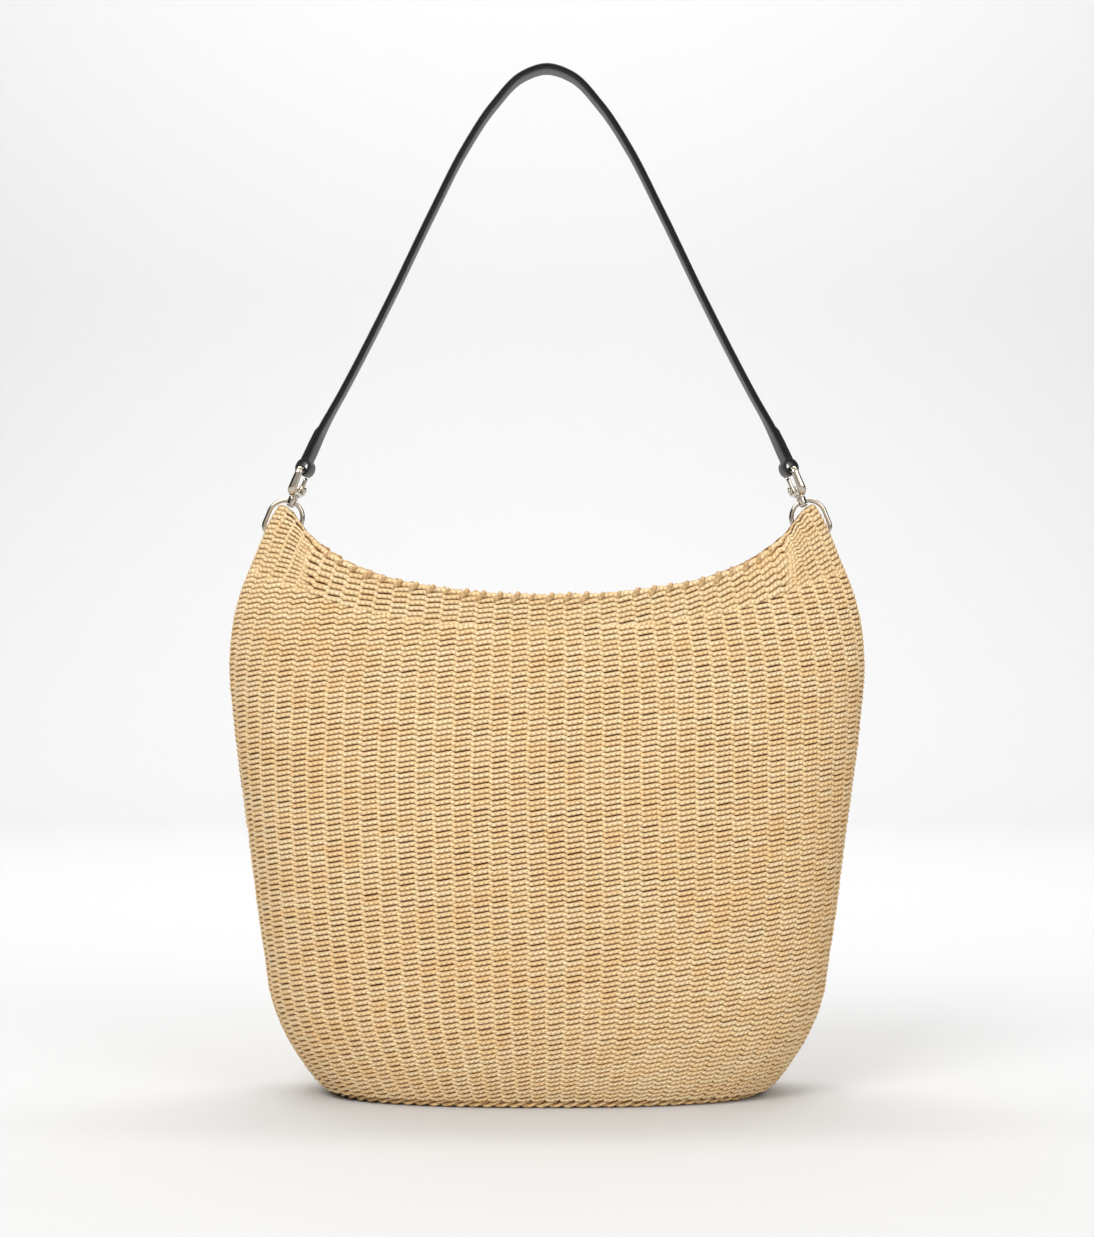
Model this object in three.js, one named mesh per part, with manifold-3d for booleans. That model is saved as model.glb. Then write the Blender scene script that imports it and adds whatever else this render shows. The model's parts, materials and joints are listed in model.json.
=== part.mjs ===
// A woven hobo bag with a leather shoulder strap, in millimetres, +Z up.
// The origin is the middle of the base, on the surface that the bag stands on.
// +X is towards the wearer's right-hand end of the bag, and -Y is its front.
import * as THREE from "three";
import { mergeVertices } from "three/addons/utils/BufferGeometryUtils.js";
import Module from "manifold-3d";

const wasm = await Module();
wasm.setup();

// ---------- Driving dimensions ----------

const CORD = 3.4; // thickness of the woven wall, one twined row of paper cord
const CLEAR = 0.4; // gap between pieces that touch on the real bag

// Half the width and half the depth of the bag, as [height, value].
const HALF_WIDTH = [[0, 133], [8, 143], [26, 157], [54, 171], [92, 178], [158, 187], [233, 197],
  [268, 200], [309, 194.5], [337, 183.5], [356, 175.5], [371, 164]];
const HALF_DEPTH = [[0, 57], [8, 61], [40, 69], [110, 73], [180, 68], [240, 57], [310, 38], [345, 24], [371, 17]];
// How square a cross-section is: 2 is an ellipse, and more is a fuller oval.
const SQUARENESS = [[0, 2.5], [120, 2.5], [240, 2.1], [310, 1.8], [345, 2], [371, 2]];
const ROUND = 2.3; // how square a cross-section is towards its two ends
// The height of the mouth's edge, as [distance from the middle, height].
const RIM = [[0, 310], [40, 311.3], [70, 315], [95, 319.5], [115, 326], [130, 333], [142, 341], [151, 350],
  [158, 361], [163.5, 374]];

const CORNER = { top: 366, floor: 338, inner: 138 }; // the two worked-together corners of the bag
const BASE = { rise: 4.9, panel: CORD, cordRadius: 2.2 };
const RIM_CORD_RADIUS = 2;
const LINING = { thickness: 0.9, belowRim: 13, top: 330 };
const POCKET = { width: 150, height: 120, bottom: 130, thickness: 1.1 };

const LEAN = THREE.MathUtils.degToRad(22); // the rings and hooks lean in towards the middle
const SWING_HEIGHT = 348.3; // the line through both rings' bars that the strap swings about
const APEX = { x: 160.2, z: 370.5 }; // the top of a ring's wire, where its boss is, on the right
const RING = { wire: 1.45, halfWidth: 10.8, height: 24, corner: 5, boss: 2.9, bore: 1.6 };
const RIVET = { radius: 1.2, head: 2.5, headHeight: 1.3, gap: 0.3 };
const HOOK = {
  twist: THREE.MathUtils.degToRad(8), // each hook rests turned a little, gate inwards
  base: 2.9 + CLEAR, // from the top of the ring's wire up to the flange
  flangeRadius: 3.6, flangeHeight: 1.2,
  bowWidth: 26.4, bowHeight: 19.2, bowCorner: 5, rod: 3.2, depth: 4.6,
};
const GATE = { hinge: 5.6, tip: 13.9, thickness: 2.6, depth: 2.6, pin: 0.6, gap: 0.4 };
const SPRING = { start: 0.2, turns: 2, radius: 1.02, wire: 0.15, pitch: 0.55 };
const STRAP = { width: 20, loopWidth: 17, layer: 1.75, loopWall: 1.3, loopHalfWidth: 4.4, loopTop: 28.6 };
// The middle of the strap from one end to the top of its arch, as [distance from the middle, height].
const STRAP_ARCH = [[149, 398.2], [141.3, 415], [127.3, 440.6], [98.3, 497.1], [71, 553.6], [51.7, 591.3],
  [32.9, 619.6], [15.2, 637.4], [0, 642.2]];

// ---------- Materials ----------

const finish = (color, roughness, metalness = 0) =>
  new THREE.MeshStandardMaterial({ color, roughness, metalness });
const PAPER_CORD = finish(0xdcb985, 0.75);
const COTTON = finish(0xe4d8bf, 0.9);
const LEATHER = finish(0x17171a, 0.42);
const METAL = finish(0xc9c0b2, 0.18, 1);
const STEEL = finish(0x9a9a9c, 0.35, 1);

// ---------- Solids ----------

function toSolid(geometry) {
  const bare = geometry.index ? geometry.toNonIndexed() : geometry.clone();
  bare.deleteAttribute("normal");
  bare.deleteAttribute("uv");
  const merged = mergeVertices(bare, 1e-4);
  return new wasm.Manifold(new wasm.Mesh({
    numProp: 3,
    vertProperties: merged.attributes.position.array,
    triVerts: new Uint32Array(merged.index.array),
  }));
}

function toGeometry(solid) {
  const mesh = solid.getMesh();
  const geometry = new THREE.BufferGeometry();
  geometry.setAttribute("position", new THREE.BufferAttribute(mesh.vertProperties, 3));
  geometry.setIndex(new THREE.BufferAttribute(mesh.triVerts, 1));
  geometry.computeVertexNormals();
  return geometry;
}

const box = (low, high) => {
  const size = high.map((v, i) => v - low[i]);
  const middle = high.map((v, i) => (v + low[i]) / 2);
  return toSolid(new THREE.BoxGeometry(...size).translate(...middle));
};

// A cylinder of that radius along "x", "y" or "z", with its middle at the given point.
function rod(radius, length, along, middle = [0, 0, 0], sides = 14) {
  const geometry = new THREE.CylinderGeometry(radius, radius, length, sides);
  if (along === "x") geometry.rotateZ(Math.PI / 2);
  if (along === "z") geometry.rotateX(Math.PI / 2);
  return toSolid(geometry.translate(...middle));
}

// A solid of revolution about Z. The profile is [radius, height] from its lowest point up.
function turned(profile, sides = 14) {
  const points = profile.map(([r, z]) => new THREE.Vector2(r, z));
  return toSolid(new THREE.LatheGeometry(points, sides).rotateX(Math.PI / 2));
}

function circle(radius, sides) {
  return new THREE.Shape(new THREE.Path().absarc(0, 0, radius, 0, 2 * Math.PI).getPoints(sides).slice(0, -1));
}

// A tube along a curve. A closed curve's tube has no ends.
function tube(curve, radius, steps, sides = 10) {
  return new THREE.ExtrudeGeometry(circle(radius, sides), { steps, extrudePath: curve, curveSegments: sides });
}

// A smooth function through [place, value] pairs.
function through(pairs) {
  const places = pairs.map((p) => p[0]);
  const values = pairs.map((p) => p[1]);
  const curve = new THREE.CubicInterpolant(places, values, 1, new Float64Array(1));
  return (place) => curve.evaluate(THREE.MathUtils.clamp(place, places[0], places.at(-1)))[0];
}

// ---------- The woven bag ----------

const halfWidth = through(HALF_WIDTH);
const halfDepth = through(HALF_DEPTH);
const squareness = through(SQUARENESS);
const rimHeight = through(RIM);

// The bag's outline at a height, taken in by an inset, as a closed loop of points.
function section(height, inset, sides = 36) {
  const a = halfWidth(height) - inset;
  const b = halfDepth(height) - inset;
  const power = 2 / squareness(height);
  return Array.from({ length: sides }, (_, i) => {
    const turn = (2 * Math.PI * i) / sides;
    const c = Math.cos(turn);
    const s = Math.sin(turn);
    return new THREE.Vector3(
      a * Math.sign(c) * Math.abs(c) ** (2 / ROUND),
      b * Math.sign(s) * Math.abs(s) ** power,
      height,
    );
  });
}

// A closed solid through loops of equal length, from the lowest up.
function loft(loops) {
  const sides = loops[0].length;
  const middles = [loops[0], loops.at(-1)].map((loop) =>
    loop.reduce((sum, p) => sum.add(p), new THREE.Vector3()).divideScalar(sides));
  const points = [...loops.flat(), ...middles].flatMap((p) => p.toArray());
  const faces = [];
  for (let k = 0; k < loops.length - 1; k++) {
    for (let i = 0; i < sides; i++) {
      const j = (i + 1) % sides;
      const [a, b, c, d] = [k * sides + i, k * sides + j, (k + 1) * sides + j, (k + 1) * sides + i];
      faces.push(a, b, c, a, c, d);
    }
  }
  const last = (loops.length - 1) * sides;
  const lowMiddle = loops.length * sides;
  for (let i = 0; i < sides; i++) {
    const j = (i + 1) % sides;
    faces.push(lowMiddle, j, i, lowMiddle + 1, last + i, last + j);
  }
  const geometry = new THREE.BufferGeometry();
  geometry.setAttribute("position", new THREE.Float32BufferAttribute(points, 3));
  geometry.setIndex(faces);
  return toSolid(geometry);
}

// The bag's solid form between two heights, taken in by an inset.
function form(from, to, inset, levels = 14) {
  const heights = Array.from({ length: levels + 1 }, (_, i) => from + ((to - from) * i) / levels);
  return loft(heights.map((h) => section(h, inset)));
}

// What is above the mouth's edge, lowered by some amount.
function aboveRim(lowered) {
  const reach = 240;
  const outline = [];
  const steps = 14;
  const last = RIM.at(-1)[0];
  for (let i = -steps; i <= steps; i++) {
    const x = (last * i) / steps;
    outline.push(new THREE.Vector2(x, rimHeight(Math.abs(x)) - lowered));
  }
  outline.push(new THREE.Vector2(last, reach * 2), new THREE.Vector2(-last, reach * 2));
  const shape = new THREE.Shape(outline);
  const geometry = new THREE.ExtrudeGeometry(shape, { depth: reach, bevelEnabled: false });
  return toSolid(geometry.rotateX(Math.PI / 2).translate(0, reach / 2, 0));
}

// The mouth's edge from one corner to the other, on the front (side -1) or the back (side 1).
function rimCurve(side, inset, reach, lowered) {
  const points = [];
  const steps = 14;
  for (let i = -steps; i <= steps; i++) {
    const x = (reach * i) / steps;
    const z = rimHeight(Math.abs(x)) - lowered;
    const a = halfWidth(z);
    const b = halfDepth(z) - inset;
    const y = b * (1 - (Math.abs(x) / a) ** ROUND) ** (1 / squareness(z));
    points.push(new THREE.Vector3(x, side * y, z));
  }
  return new THREE.CatmullRomCurve3(points);
}

// ---------- The rings ----------

// The ring's wire, a rounded D, in its own plane: X across, Z up, and the top of the wire at the origin.
function ringPath() {
  const { halfWidth: w, height: h, corner: r } = RING;
  const shoulder = -h + 13;
  const points = [];
  const arc = (cx, cz, rx, rz, from, to, steps) => {
    for (let i = 0; i <= steps; i++) {
      const turn = from + ((to - from) * i) / steps;
      points.push(new THREE.Vector3(cx + rx * Math.cos(turn), 0, cz + rz * Math.sin(turn)));
    }
  };
  arc(0, shoulder, w, -shoulder, 0, Math.PI, 12);
  arc(-w + r, -h + r, r, r, Math.PI, 1.5 * Math.PI, 3);
  arc(w - r, -h + r, r, r, 1.5 * Math.PI, 2 * Math.PI, 3);
  return new THREE.CatmullRomCurve3(points, true, "centripetal");
}

// A closed tube, made by hand so that its start and end meet exactly.
function closedTube(curve, radius, steps, sides = 8) {
  const normal = new THREE.Vector3(0, 1, 0);
  const points = [];
  const faces = [];
  for (let k = 0; k < steps; k++) {
    const middle = curve.getPointAt(k / steps);
    const across = new THREE.Vector3().crossVectors(curve.getTangentAt(k / steps), normal).normalize();
    for (let i = 0; i < sides; i++) {
      const turn = (2 * Math.PI * i) / sides;
      const p = middle.clone().addScaledVector(across, radius * Math.cos(turn));
      points.push(...p.addScaledVector(normal, radius * Math.sin(turn)).toArray());
      const [k2, i2] = [(k + 1) % steps, (i + 1) % sides];
      const [a, b, c, d] = [k * sides + i, k * sides + i2, k2 * sides + i2, k2 * sides + i];
      faces.push(a, c, b, a, d, c);
    }
  }
  const geometry = new THREE.BufferGeometry();
  geometry.setAttribute("position", new THREE.Float32BufferAttribute(points, 3));
  geometry.setIndex(faces);
  const solid = toSolid(geometry);
  if (solid.volume() > 0) return solid;
  geometry.setIndex(faces.reverse());
  return toSolid(geometry);
}

// Puts a solid from a ring's own frame into the bag's: side is -1 for the left end and 1 for the right.
function place(solid, side) {
  const matrix = new THREE.Matrix4().makeRotationY(-side * LEAN);
  matrix.setPosition(side * APEX.x, 0, APEX.z);
  return toSolid(toGeometry(solid).applyMatrix4(matrix));
}

function ring(side) {
  const { wire, boss, bore } = RING;
  const hub = turned([[0, -2.1], [2.2, -2.1], [boss, -1], [boss, 2], [2.4, boss], [0, boss]]);
  const hole = turned([[0, -4], [bore, -4], [bore, 4], [0, 4]]);
  return place(closedTube(ringPath(), wire, 30).add(hub).subtract(hole), side);
}

// The space that a ring sweeps as it swings from the front to the back, with clearance round it.
function ringSweep(side) {
  const reach = RING.wire + CLEAR;
  const curve = ringPath();
  const steps = 22;
  const outer = [];
  const inner = [];
  for (let i = 0; i <= steps; i++) {
    const p = curve.getPointAt((i / steps) * 0.62);
    const t = curve.getTangentAt((i / steps) * 0.62);
    const spread = (offset) => {
      const [x, z] = [p.x + t.z * offset, p.z - t.x * offset];
      return [
        APEX.x + x * Math.cos(LEAN) - z * Math.sin(LEAN),
        APEX.z + z * Math.cos(LEAN) + x * Math.sin(LEAN) - SWING_HEIGHT];
    };
    outer.push(spread(reach));
    inner.push(spread(-reach));
  }
  const revolve = (outline) => {
    const high = outline.filter(([, h]) => h > 0.2);
    const ends = [[high[0][0], 0], ...high, [high.at(-1)[0], 0]];
    const lathe = new THREE.LatheGeometry(ends.map(([x, h]) => new THREE.Vector2(h, x)), 20);
    const solid = toSolid(lathe.rotateZ(-Math.PI / 2));
    return solid.volume() > 0 ? solid : toSolid(lathe.scale(1, -1, 1));
  };
  const limbs = revolve(outer).subtract(revolve(inner))
    .intersect(box([100, -60, -3.5], [230, 60, 60]));
  // The leaning bar sweeps two cones that meet at its middle.
  const barX = APEX.x + RING.height * Math.sin(LEAN);
  const half = (RING.halfWidth + reach + CLEAR) * Math.cos(LEAN);
  const waist = (reach + CLEAR) / Math.cos(LEAN);
  const flare = waist + half * Math.tan(LEAN);
  const cones = toSolid(new THREE.LatheGeometry(
    [[0, -half], [flare, -half], [waist, 0], [flare, half], [0, half]].map(([r, x]) => new THREE.Vector2(r, x)),
    20).rotateZ(-Math.PI / 2).translate(barX, 0, 0));
  // The rivet's head and the boss pass over the tip of the corner.
  const low = APEX.z - SWING_HEIGHT - 5.2;
  const heads = rod(40, 8.4, "x", [APEX.x + 1.2, 0, 0], 24).subtract(rod(low, 20, "x", [APEX.x, 0, 0], 24))
    .intersect(box([100, -60, -3.5], [230, 60, 60]));
  const whole = toGeometry(limbs.add(cones).add(heads)).translate(0, 0, SWING_HEIGHT);
  if (side > 0) return toSolid(whole);
  return toSolid(toGeometry(toSolid(whole.rotateZ(Math.PI))));
}

// The headed pin that a hook turns on. Its head is inside the ring's arch.
function swivelRivet() {
  const { radius, head, headHeight, gap } = RIVET;
  const top = HOOK.base + 3.4;
  const low = -2.1 - gap;
  return turned([[0, low - headHeight], [head * 0.7, low - headHeight], [head, low - 0.4], [head, low],
    [radius, low], [radius, top], [0, top]]);
}

// ---------- The snap hooks ----------

// A rounded rectangle in the Y-Z plane, with the given thickness along X.
function frameBlock(width, low, high, corner, depth) {
  const shape = new THREE.Shape();
  const w = width / 2;
  shape.moveTo(-w + corner, low);
  shape.lineTo(w - corner, low);
  shape.absarc(w - corner, low + corner, corner, -Math.PI / 2, 0);
  shape.absarc(w - corner, high - corner, corner, 0, Math.PI / 2);
  shape.absarc(-w + corner, high - corner, corner, Math.PI / 2, Math.PI);
  shape.absarc(-w + corner, low + corner, corner, Math.PI, 1.5 * Math.PI);
  const geometry = new THREE.ExtrudeGeometry(shape, { depth, bevelEnabled: false, curveSegments: 3 });
  // Shape X becomes world Y, shape Y becomes Z, and the depth runs along X.
  geometry.applyMatrix4(new THREE.Matrix4().makeBasis(
    new THREE.Vector3(0, 1, 0), new THREE.Vector3(0, 0, 1), new THREE.Vector3(1, 0, 0)));
  return toSolid(geometry.translate(-depth / 2, 0, 0));
}

const gateY = HOOK.bowWidth / 2 - HOOK.rod / 2; // the gate's side of the bow, away from the front
const hingeZ = HOOK.base + GATE.hinge;

function hookBody() {
  const { base, bowWidth, bowHeight, bowCorner, rod: r, depth, flangeRadius, flangeHeight } = HOOK;
  const low = base + flangeHeight * 0.5;
  const top = low + bowHeight;
  const outer = frameBlock(bowWidth, low, top, bowCorner, depth);
  const inner = frameBlock(bowWidth - 2 * r, low + r, top - r, bowCorner - r, depth * 2);
  const flange = rod(flangeRadius, flangeHeight, "z", [0, 0, base + flangeHeight / 2]);
  const knuckle = rod(2.5, depth + 1, "x", [0, gateY, hingeZ]);
  // The gate's own space: its slot between the hinge's ears, and the open stretch of the bow.
  const slot = box(
    [-GATE.depth / 2 - GATE.gap, gateY - 6, hingeZ - 2.2],
    [GATE.depth / 2 + GATE.gap, gateY + 4, base + GATE.tip + GATE.gap]);
  const mouth = box([-depth, gateY - r, hingeZ + 1.8], [depth, gateY + r, base + GATE.tip + GATE.gap]);
  const pinHole = rod(GATE.pin + 0.2, depth * 3, "x", [0, gateY, hingeZ]);
  const silhouette = new THREE.Shape([[-2.2, low], [2.2, low], [2.3, low + 7], [1.8, top - r], [1.5, top],
    [-1.5, top], [-1.8, top - r], [-2.3, low + 7]].map(([x, z]) => new THREE.Vector2(x, z)));
  const side = new THREE.ExtrudeGeometry(silhouette, { depth: 40, bevelEnabled: false });
  const taper = toSolid(side.rotateX(Math.PI / 2).translate(0, 20, 0));
  const rivetHole = turned([[0, 0], [RIVET.radius + RIVET.gap, 0], [RIVET.radius + RIVET.gap, base + 3.8],
    [0, base + 3.8]]);
  return outer.subtract(inner).intersect(taper).add(flange).add(knuckle).subtract(slot).subtract(mouth)
    .subtract(pinHole).subtract(rivetHole);
}

function gate() {
  const { tip, thickness, depth, pin } = GATE;
  const foot = rod(1.75, depth, "x", [0, gateY, hingeZ]);
  const bar = box(
    [-depth / 2, gateY - thickness / 2, hingeZ],
    [depth / 2, gateY + thickness / 2, HOOK.base + tip - thickness / 2]);
  const end = rod(thickness / 2, depth, "x", [0, gateY, HOOK.base + tip - thickness / 2]);
  const pinHole = rod(pin + 0.2, depth * 2, "x", [0, gateY, hingeZ]);
  const springSeat = rod(1.4, depth, "x", [depth / 2 - 0.1, gateY, hingeZ]);
  return foot.add(bar).add(end).subtract(pinHole).subtract(springSeat);
}

// A small torsion coil round the pin, in the seat in the gate's foot.
function gateSpring() {
  class Coil extends THREE.Curve {
    getPoint(t, target = new THREE.Vector3()) {
      const turn = 2 * Math.PI * SPRING.turns * t;
      return target.set(
        SPRING.start + SPRING.pitch * SPRING.turns * t,
        gateY + SPRING.radius * Math.cos(turn),
        hingeZ + SPRING.radius * Math.sin(turn));
    }
  }
  return toSolid(tube(new Coil(), SPRING.wire, 20, 4));
}

// ---------- The strap ----------

// A strip of leather in the X-Z plane, as wide as the strap, between two outlines.
function strip(outline) {
  const shape = new THREE.Shape(outline.map(([x, z]) => new THREE.Vector2(x, z)));
  const geometry = new THREE.ExtrudeGeometry(shape, { depth: STRAP.width, bevelEnabled: false });
  return toSolid(geometry.rotateX(Math.PI / 2).translate(0, STRAP.width / 2, 0));
}

// The whole arch from the left end to the right as a curve in the X-Z plane.
function archCurve() {
  const right = STRAP_ARCH.map(([x, z]) => new THREE.Vector2(x, z));
  const left = right.slice(0, -1).map((p) => new THREE.Vector2(-p.x, p.y)).reverse();
  return new THREE.SplineCurve([...right, ...left]);
}

// One layer of the strap, between two distances from its middle line. Outwards is positive.
function strapLayer(from, to) {
  const curve = archCurve();
  const steps = 40;
  const side = (offset) => Array.from({ length: steps + 1 }, (_, i) => {
    const p = curve.getPointAt(i / steps);
    const t = curve.getTangentAt(i / steps);
    return [p.x + t.y * offset, p.y - t.x * offset];
  });
  return strip([...side(to), ...side(from).reverse()]);
}

// The turned loop at the strap's end, round the bow's upper bar, in the hook's own frame.
function strapLoop() {
  const { loopWall: wall, loopHalfWidth: w, loopTop, loopWidth: width, layer } = STRAP;
  const barTop = HOOK.base + HOOK.flangeHeight / 2 + HOOK.bowHeight;
  const barLow = barTop - HOOK.rod;
  const low = barLow - wall - 1.1;
  const outline = (grow) => {
    const shape = new THREE.Shape();
    const bottom = low + wall - grow;
    const side = w - wall + grow;
    const shoulder = barTop - 0.6;
    const top = loopTop - 2.5 + grow * 1.6;
    shape.moveTo(-side, shoulder);
    shape.quadraticCurveTo(-side, bottom, 0, bottom);
    shape.quadraticCurveTo(side, bottom, side, shoulder);
    shape.quadraticCurveTo(side, top - 1, 0, top);
    shape.quadraticCurveTo(-side, top - 1, -side, shoulder);
    return shape;
  };
  const solidOf = (shape, depth) => {
    const geometry = new THREE.ExtrudeGeometry(shape, { depth, bevelEnabled: false, curveSegments: 5 });
    return toSolid(geometry.rotateX(Math.PI / 2).translate(0, depth / 2, 0));
  };
  const stem = box([-layer, -width / 2, loopTop - 2.5], [layer, width / 2, loopTop + 0.4]);
  return solidOf(outline(wall), width).add(stem).subtract(solidOf(outline(0), width * 2));
}

// ---------- Assembly ----------

const bag = new THREE.Group();

function add(name, solid, material, parent = bag) {
  const mesh = new THREE.Mesh(solid instanceof THREE.BufferGeometry ? solid : toGeometry(solid), material);
  mesh.name = name;
  parent.add(mesh);
}

const sides = [["left", -1], ["right", 1]];

// The outer form cut to the mouth's edge. The two corners are worked together and have no hollow.
const cutForm = form(BASE.rise, CORNER.top, 0, 15).subtract(aboveRim(RIM_CORD_RADIUS + 2 * CLEAR));
const cornerSpace = (side, gap) => (side < 0
  ? box([-230, -80, CORNER.floor + gap], [-CORNER.inner - gap, 80, 400])
  : box([CORNER.inner + gap, -80, CORNER.floor + gap], [230, 80, 400]));
const hollow = form(BASE.rise - 2, CORNER.floor + 1, CORD, 13);
add("woven_body", sides.reduce((solid, [, side]) => solid.subtract(cornerSpace(side, 0)),
  cutForm.subtract(hollow)), PAPER_CORD);

const baseForm = (inset, from, to) => loft([from, to].map((h) => section(0, inset).map((p) => p.setZ(h))));
add("woven_base", baseForm(2 * BASE.cordRadius + CLEAR + 0.3, 0, BASE.panel), PAPER_CORD);

// The thick cord round the base, made as an upright loop and laid flat.
function baseCord() {
  const points = section(0, BASE.cordRadius, 40).map((p) => new THREE.Vector3(p.x, 0, p.y));
  const loop = new THREE.CatmullRomCurve3(points, true, "centripetal");
  const upright = toGeometry(closedTube(loop, BASE.cordRadius, 44, 6));
  return toSolid(upright.rotateX(-Math.PI / 2).translate(0, 0, BASE.cordRadius + 0.15));
}
add("base_edge_cord", baseCord(), PAPER_CORD);

for (const [name, side] of [["rim_cord_front", -1], ["rim_cord_back", 1]]) {
  const curve = rimCurve(side, CORD / 2, CORNER.inner - 3, -0.35);
  add(name, toSolid(tube(curve, RIM_CORD_RADIUS, 26, 6)), PAPER_CORD);
}

for (const [name, side] of sides) {
  add(`corner_${name}`, cutForm.intersect(cornerSpace(side, CLEAR)).subtract(ringSweep(side)), PAPER_CORD);
  add(`ring_${name}`, ring(side), METAL);

  const hook = new THREE.Group();
  hook.position.set(side * APEX.x, 0, APEX.z);
  hook.rotation.set(0, -side * LEAN, side * HOOK.twist, "YXZ");
  add(`swivel_rivet_${name}`, swivelRivet(), METAL, hook);
  add(`hook_body_${name}`, hookBody(), METAL, hook);
  add(`gate_${name}`, gate(), METAL, hook);
  add(`gate_pin_${name}`, rod(GATE.pin, HOOK.depth + 1, "x", [0, gateY, hingeZ], 10), STEEL, hook);
  add(`gate_spring_${name}`, gateSpring(), STEEL, hook);
  add(`strap_loop_${name}`, strapLoop(), LEATHER, hook);
  bag.add(hook);
}

// The lining hangs inside the wall and stops short of the mouth's edge.
const liningOut = CORD + CLEAR + 1.4;
const liningFloor = BASE.rise + CLEAR;
const lining = form(liningFloor, LINING.top, liningOut, 11)
  .subtract(form(liningFloor + LINING.thickness, LINING.top + 4, liningOut + LINING.thickness, 11))
  .subtract(aboveRim(LINING.belowRim));
add("lining", lining, COTTON);

// A slip pocket on the lining's back wall: a slice of the bag's own form, cut to a rectangle.
const pocketOut = liningOut + LINING.thickness + CLEAR + 0.4;
const pocketTop = POCKET.bottom + POCKET.height;
const pocketSlice = form(POCKET.bottom - 20, pocketTop + 20, pocketOut, 8)
  .subtract(form(POCKET.bottom - 30, pocketTop + 30, pocketOut + POCKET.thickness, 8));
const pocketSpace = box([-POCKET.width / 2, 0, POCKET.bottom], [POCKET.width / 2, 120, pocketTop]);
add("slip_pocket", pocketSlice.intersect(pocketSpace), COTTON);

add("strap_outer_layer", strapLayer(0.15, STRAP.layer), LEATHER);
add("strap_inner_layer", strapLayer(-STRAP.layer, -0.15), LEATHER);

export default bag;
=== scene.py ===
# A twined paper-cord hobo bag with a black leather strap on nickel snap hooks.
# The bag's form repeats the part's dimensions, in millimetres, except at the upper corners, where
# HALF_WIDTH and RIM have points of their own. Meshes are made in metres.
import json
import math

import bmesh
import bpy
import numpy as np
from mathutils import Matrix, Vector


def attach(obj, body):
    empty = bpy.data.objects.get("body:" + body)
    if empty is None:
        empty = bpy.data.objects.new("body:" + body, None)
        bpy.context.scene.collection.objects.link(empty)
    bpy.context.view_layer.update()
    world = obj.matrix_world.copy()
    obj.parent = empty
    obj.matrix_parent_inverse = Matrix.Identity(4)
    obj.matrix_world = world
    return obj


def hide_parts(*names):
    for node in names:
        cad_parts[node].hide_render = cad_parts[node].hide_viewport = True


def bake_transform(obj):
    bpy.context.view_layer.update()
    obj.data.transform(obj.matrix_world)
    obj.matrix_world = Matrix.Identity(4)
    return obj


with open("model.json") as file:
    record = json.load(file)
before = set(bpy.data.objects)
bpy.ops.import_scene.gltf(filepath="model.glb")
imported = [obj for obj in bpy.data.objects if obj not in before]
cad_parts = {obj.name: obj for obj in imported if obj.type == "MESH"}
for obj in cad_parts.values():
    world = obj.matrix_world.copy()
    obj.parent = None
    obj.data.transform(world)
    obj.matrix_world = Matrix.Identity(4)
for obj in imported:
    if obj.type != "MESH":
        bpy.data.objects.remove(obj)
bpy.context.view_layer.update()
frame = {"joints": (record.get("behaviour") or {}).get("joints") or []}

MM = 0.001
JOINTS = {joint["name"]: joint for joint in frame["joints"]}
SIDES = (("left", -1), ("right", 1))

# ---------- The bag's form, in millimetres ----------

HALF_WIDTH = [(0, 133), (8, 143), (26, 157), (54, 171), (92, 178), (158, 187), (233, 197),
              (268, 200), (309, 194.5), (337, 183.5), (356, 175.7), (364, 171.4), (371, 165.5)]
HALF_DEPTH = [(0, 57), (8, 61), (40, 69), (110, 73), (180, 68), (240, 57), (310, 38), (345, 24), (371, 17)]
SQUARENESS = [(0, 2.5), (120, 2.5), (240, 2.1), (310, 1.8), (345, 2), (371, 2)]
ROUND = 2.3
# The mouth's edge, and the lowest row of the shaped band under it, by distance from the middle.
RIM = [(0, 310), (40, 311.3), (70, 315), (95, 319.5), (115, 326), (130, 333), (142, 341), (151, 350),
       (157, 358.5), (161.5, 363.5), (166, 366.2), (176, 370), (200, 374)]
BAND_FOOT = [(0, 290), (80, 295.5), (120, 304), (140, 311), (155, 317.5), (170, 323.5), (184, 328),
             (200, 331)]
TIP_TOP = 366.3

STITCHES = 76  # columns of stitches round the bag
ROW_PITCH = 3.2
FIRST_ROW = 6.0
LAST_ROW = 337
SHORT_ROWS_FROM = 147  # short rows fill the band's fans beyond this distance from the middle
KNOTS_END = 143
BAND_ROWS = 7
CORD_INSET = 1.7  # from the outside of the weave to the middle of its cords
STAKES = {"outer": 2.9, "inner": 3.6, "low": 5.2}
BASE = {"rings": 16, "fine_rings": 6, "inset": 6.2, "pitch": 3.3, "height": 1.9, "size": 1.68}
BORDER = {"inset": 2.2, "height": 2.82, "turns": 38, "reach": 1.3, "radius": 1.46, "steps": STITCHES * 12}
# Where a stitch is sampled, as shares of its length.
STITCH_SAMPLES = (0.0, 0.1, 0.3, 0.5, 0.7, 0.88)


def curve_through(pairs):
    """A smooth function through [place, value] pairs."""
    xs, ys = np.array(pairs, float).T
    slopes = np.gradient(ys, xs)

    def value(x):
        x = np.clip(x, xs[0], xs[-1])
        i = np.clip(np.searchsorted(xs, x, side="right") - 1, 0, len(xs) - 2)
        h = xs[i + 1] - xs[i]
        t = (x - xs[i]) / h
        return ((2 * t**3 - 3 * t**2 + 1) * ys[i] + (t**3 - 2 * t**2 + t) * h * slopes[i]
                + (3 * t**2 - 2 * t**3) * ys[i + 1] + (t**3 - t**2) * h * slopes[i + 1])

    return value


half_width, half_depth, squareness = map(curve_through, (HALF_WIDTH, HALF_DEPTH, SQUARENESS))
rim_height, band_foot = map(curve_through, (RIM, BAND_FOOT))


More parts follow.
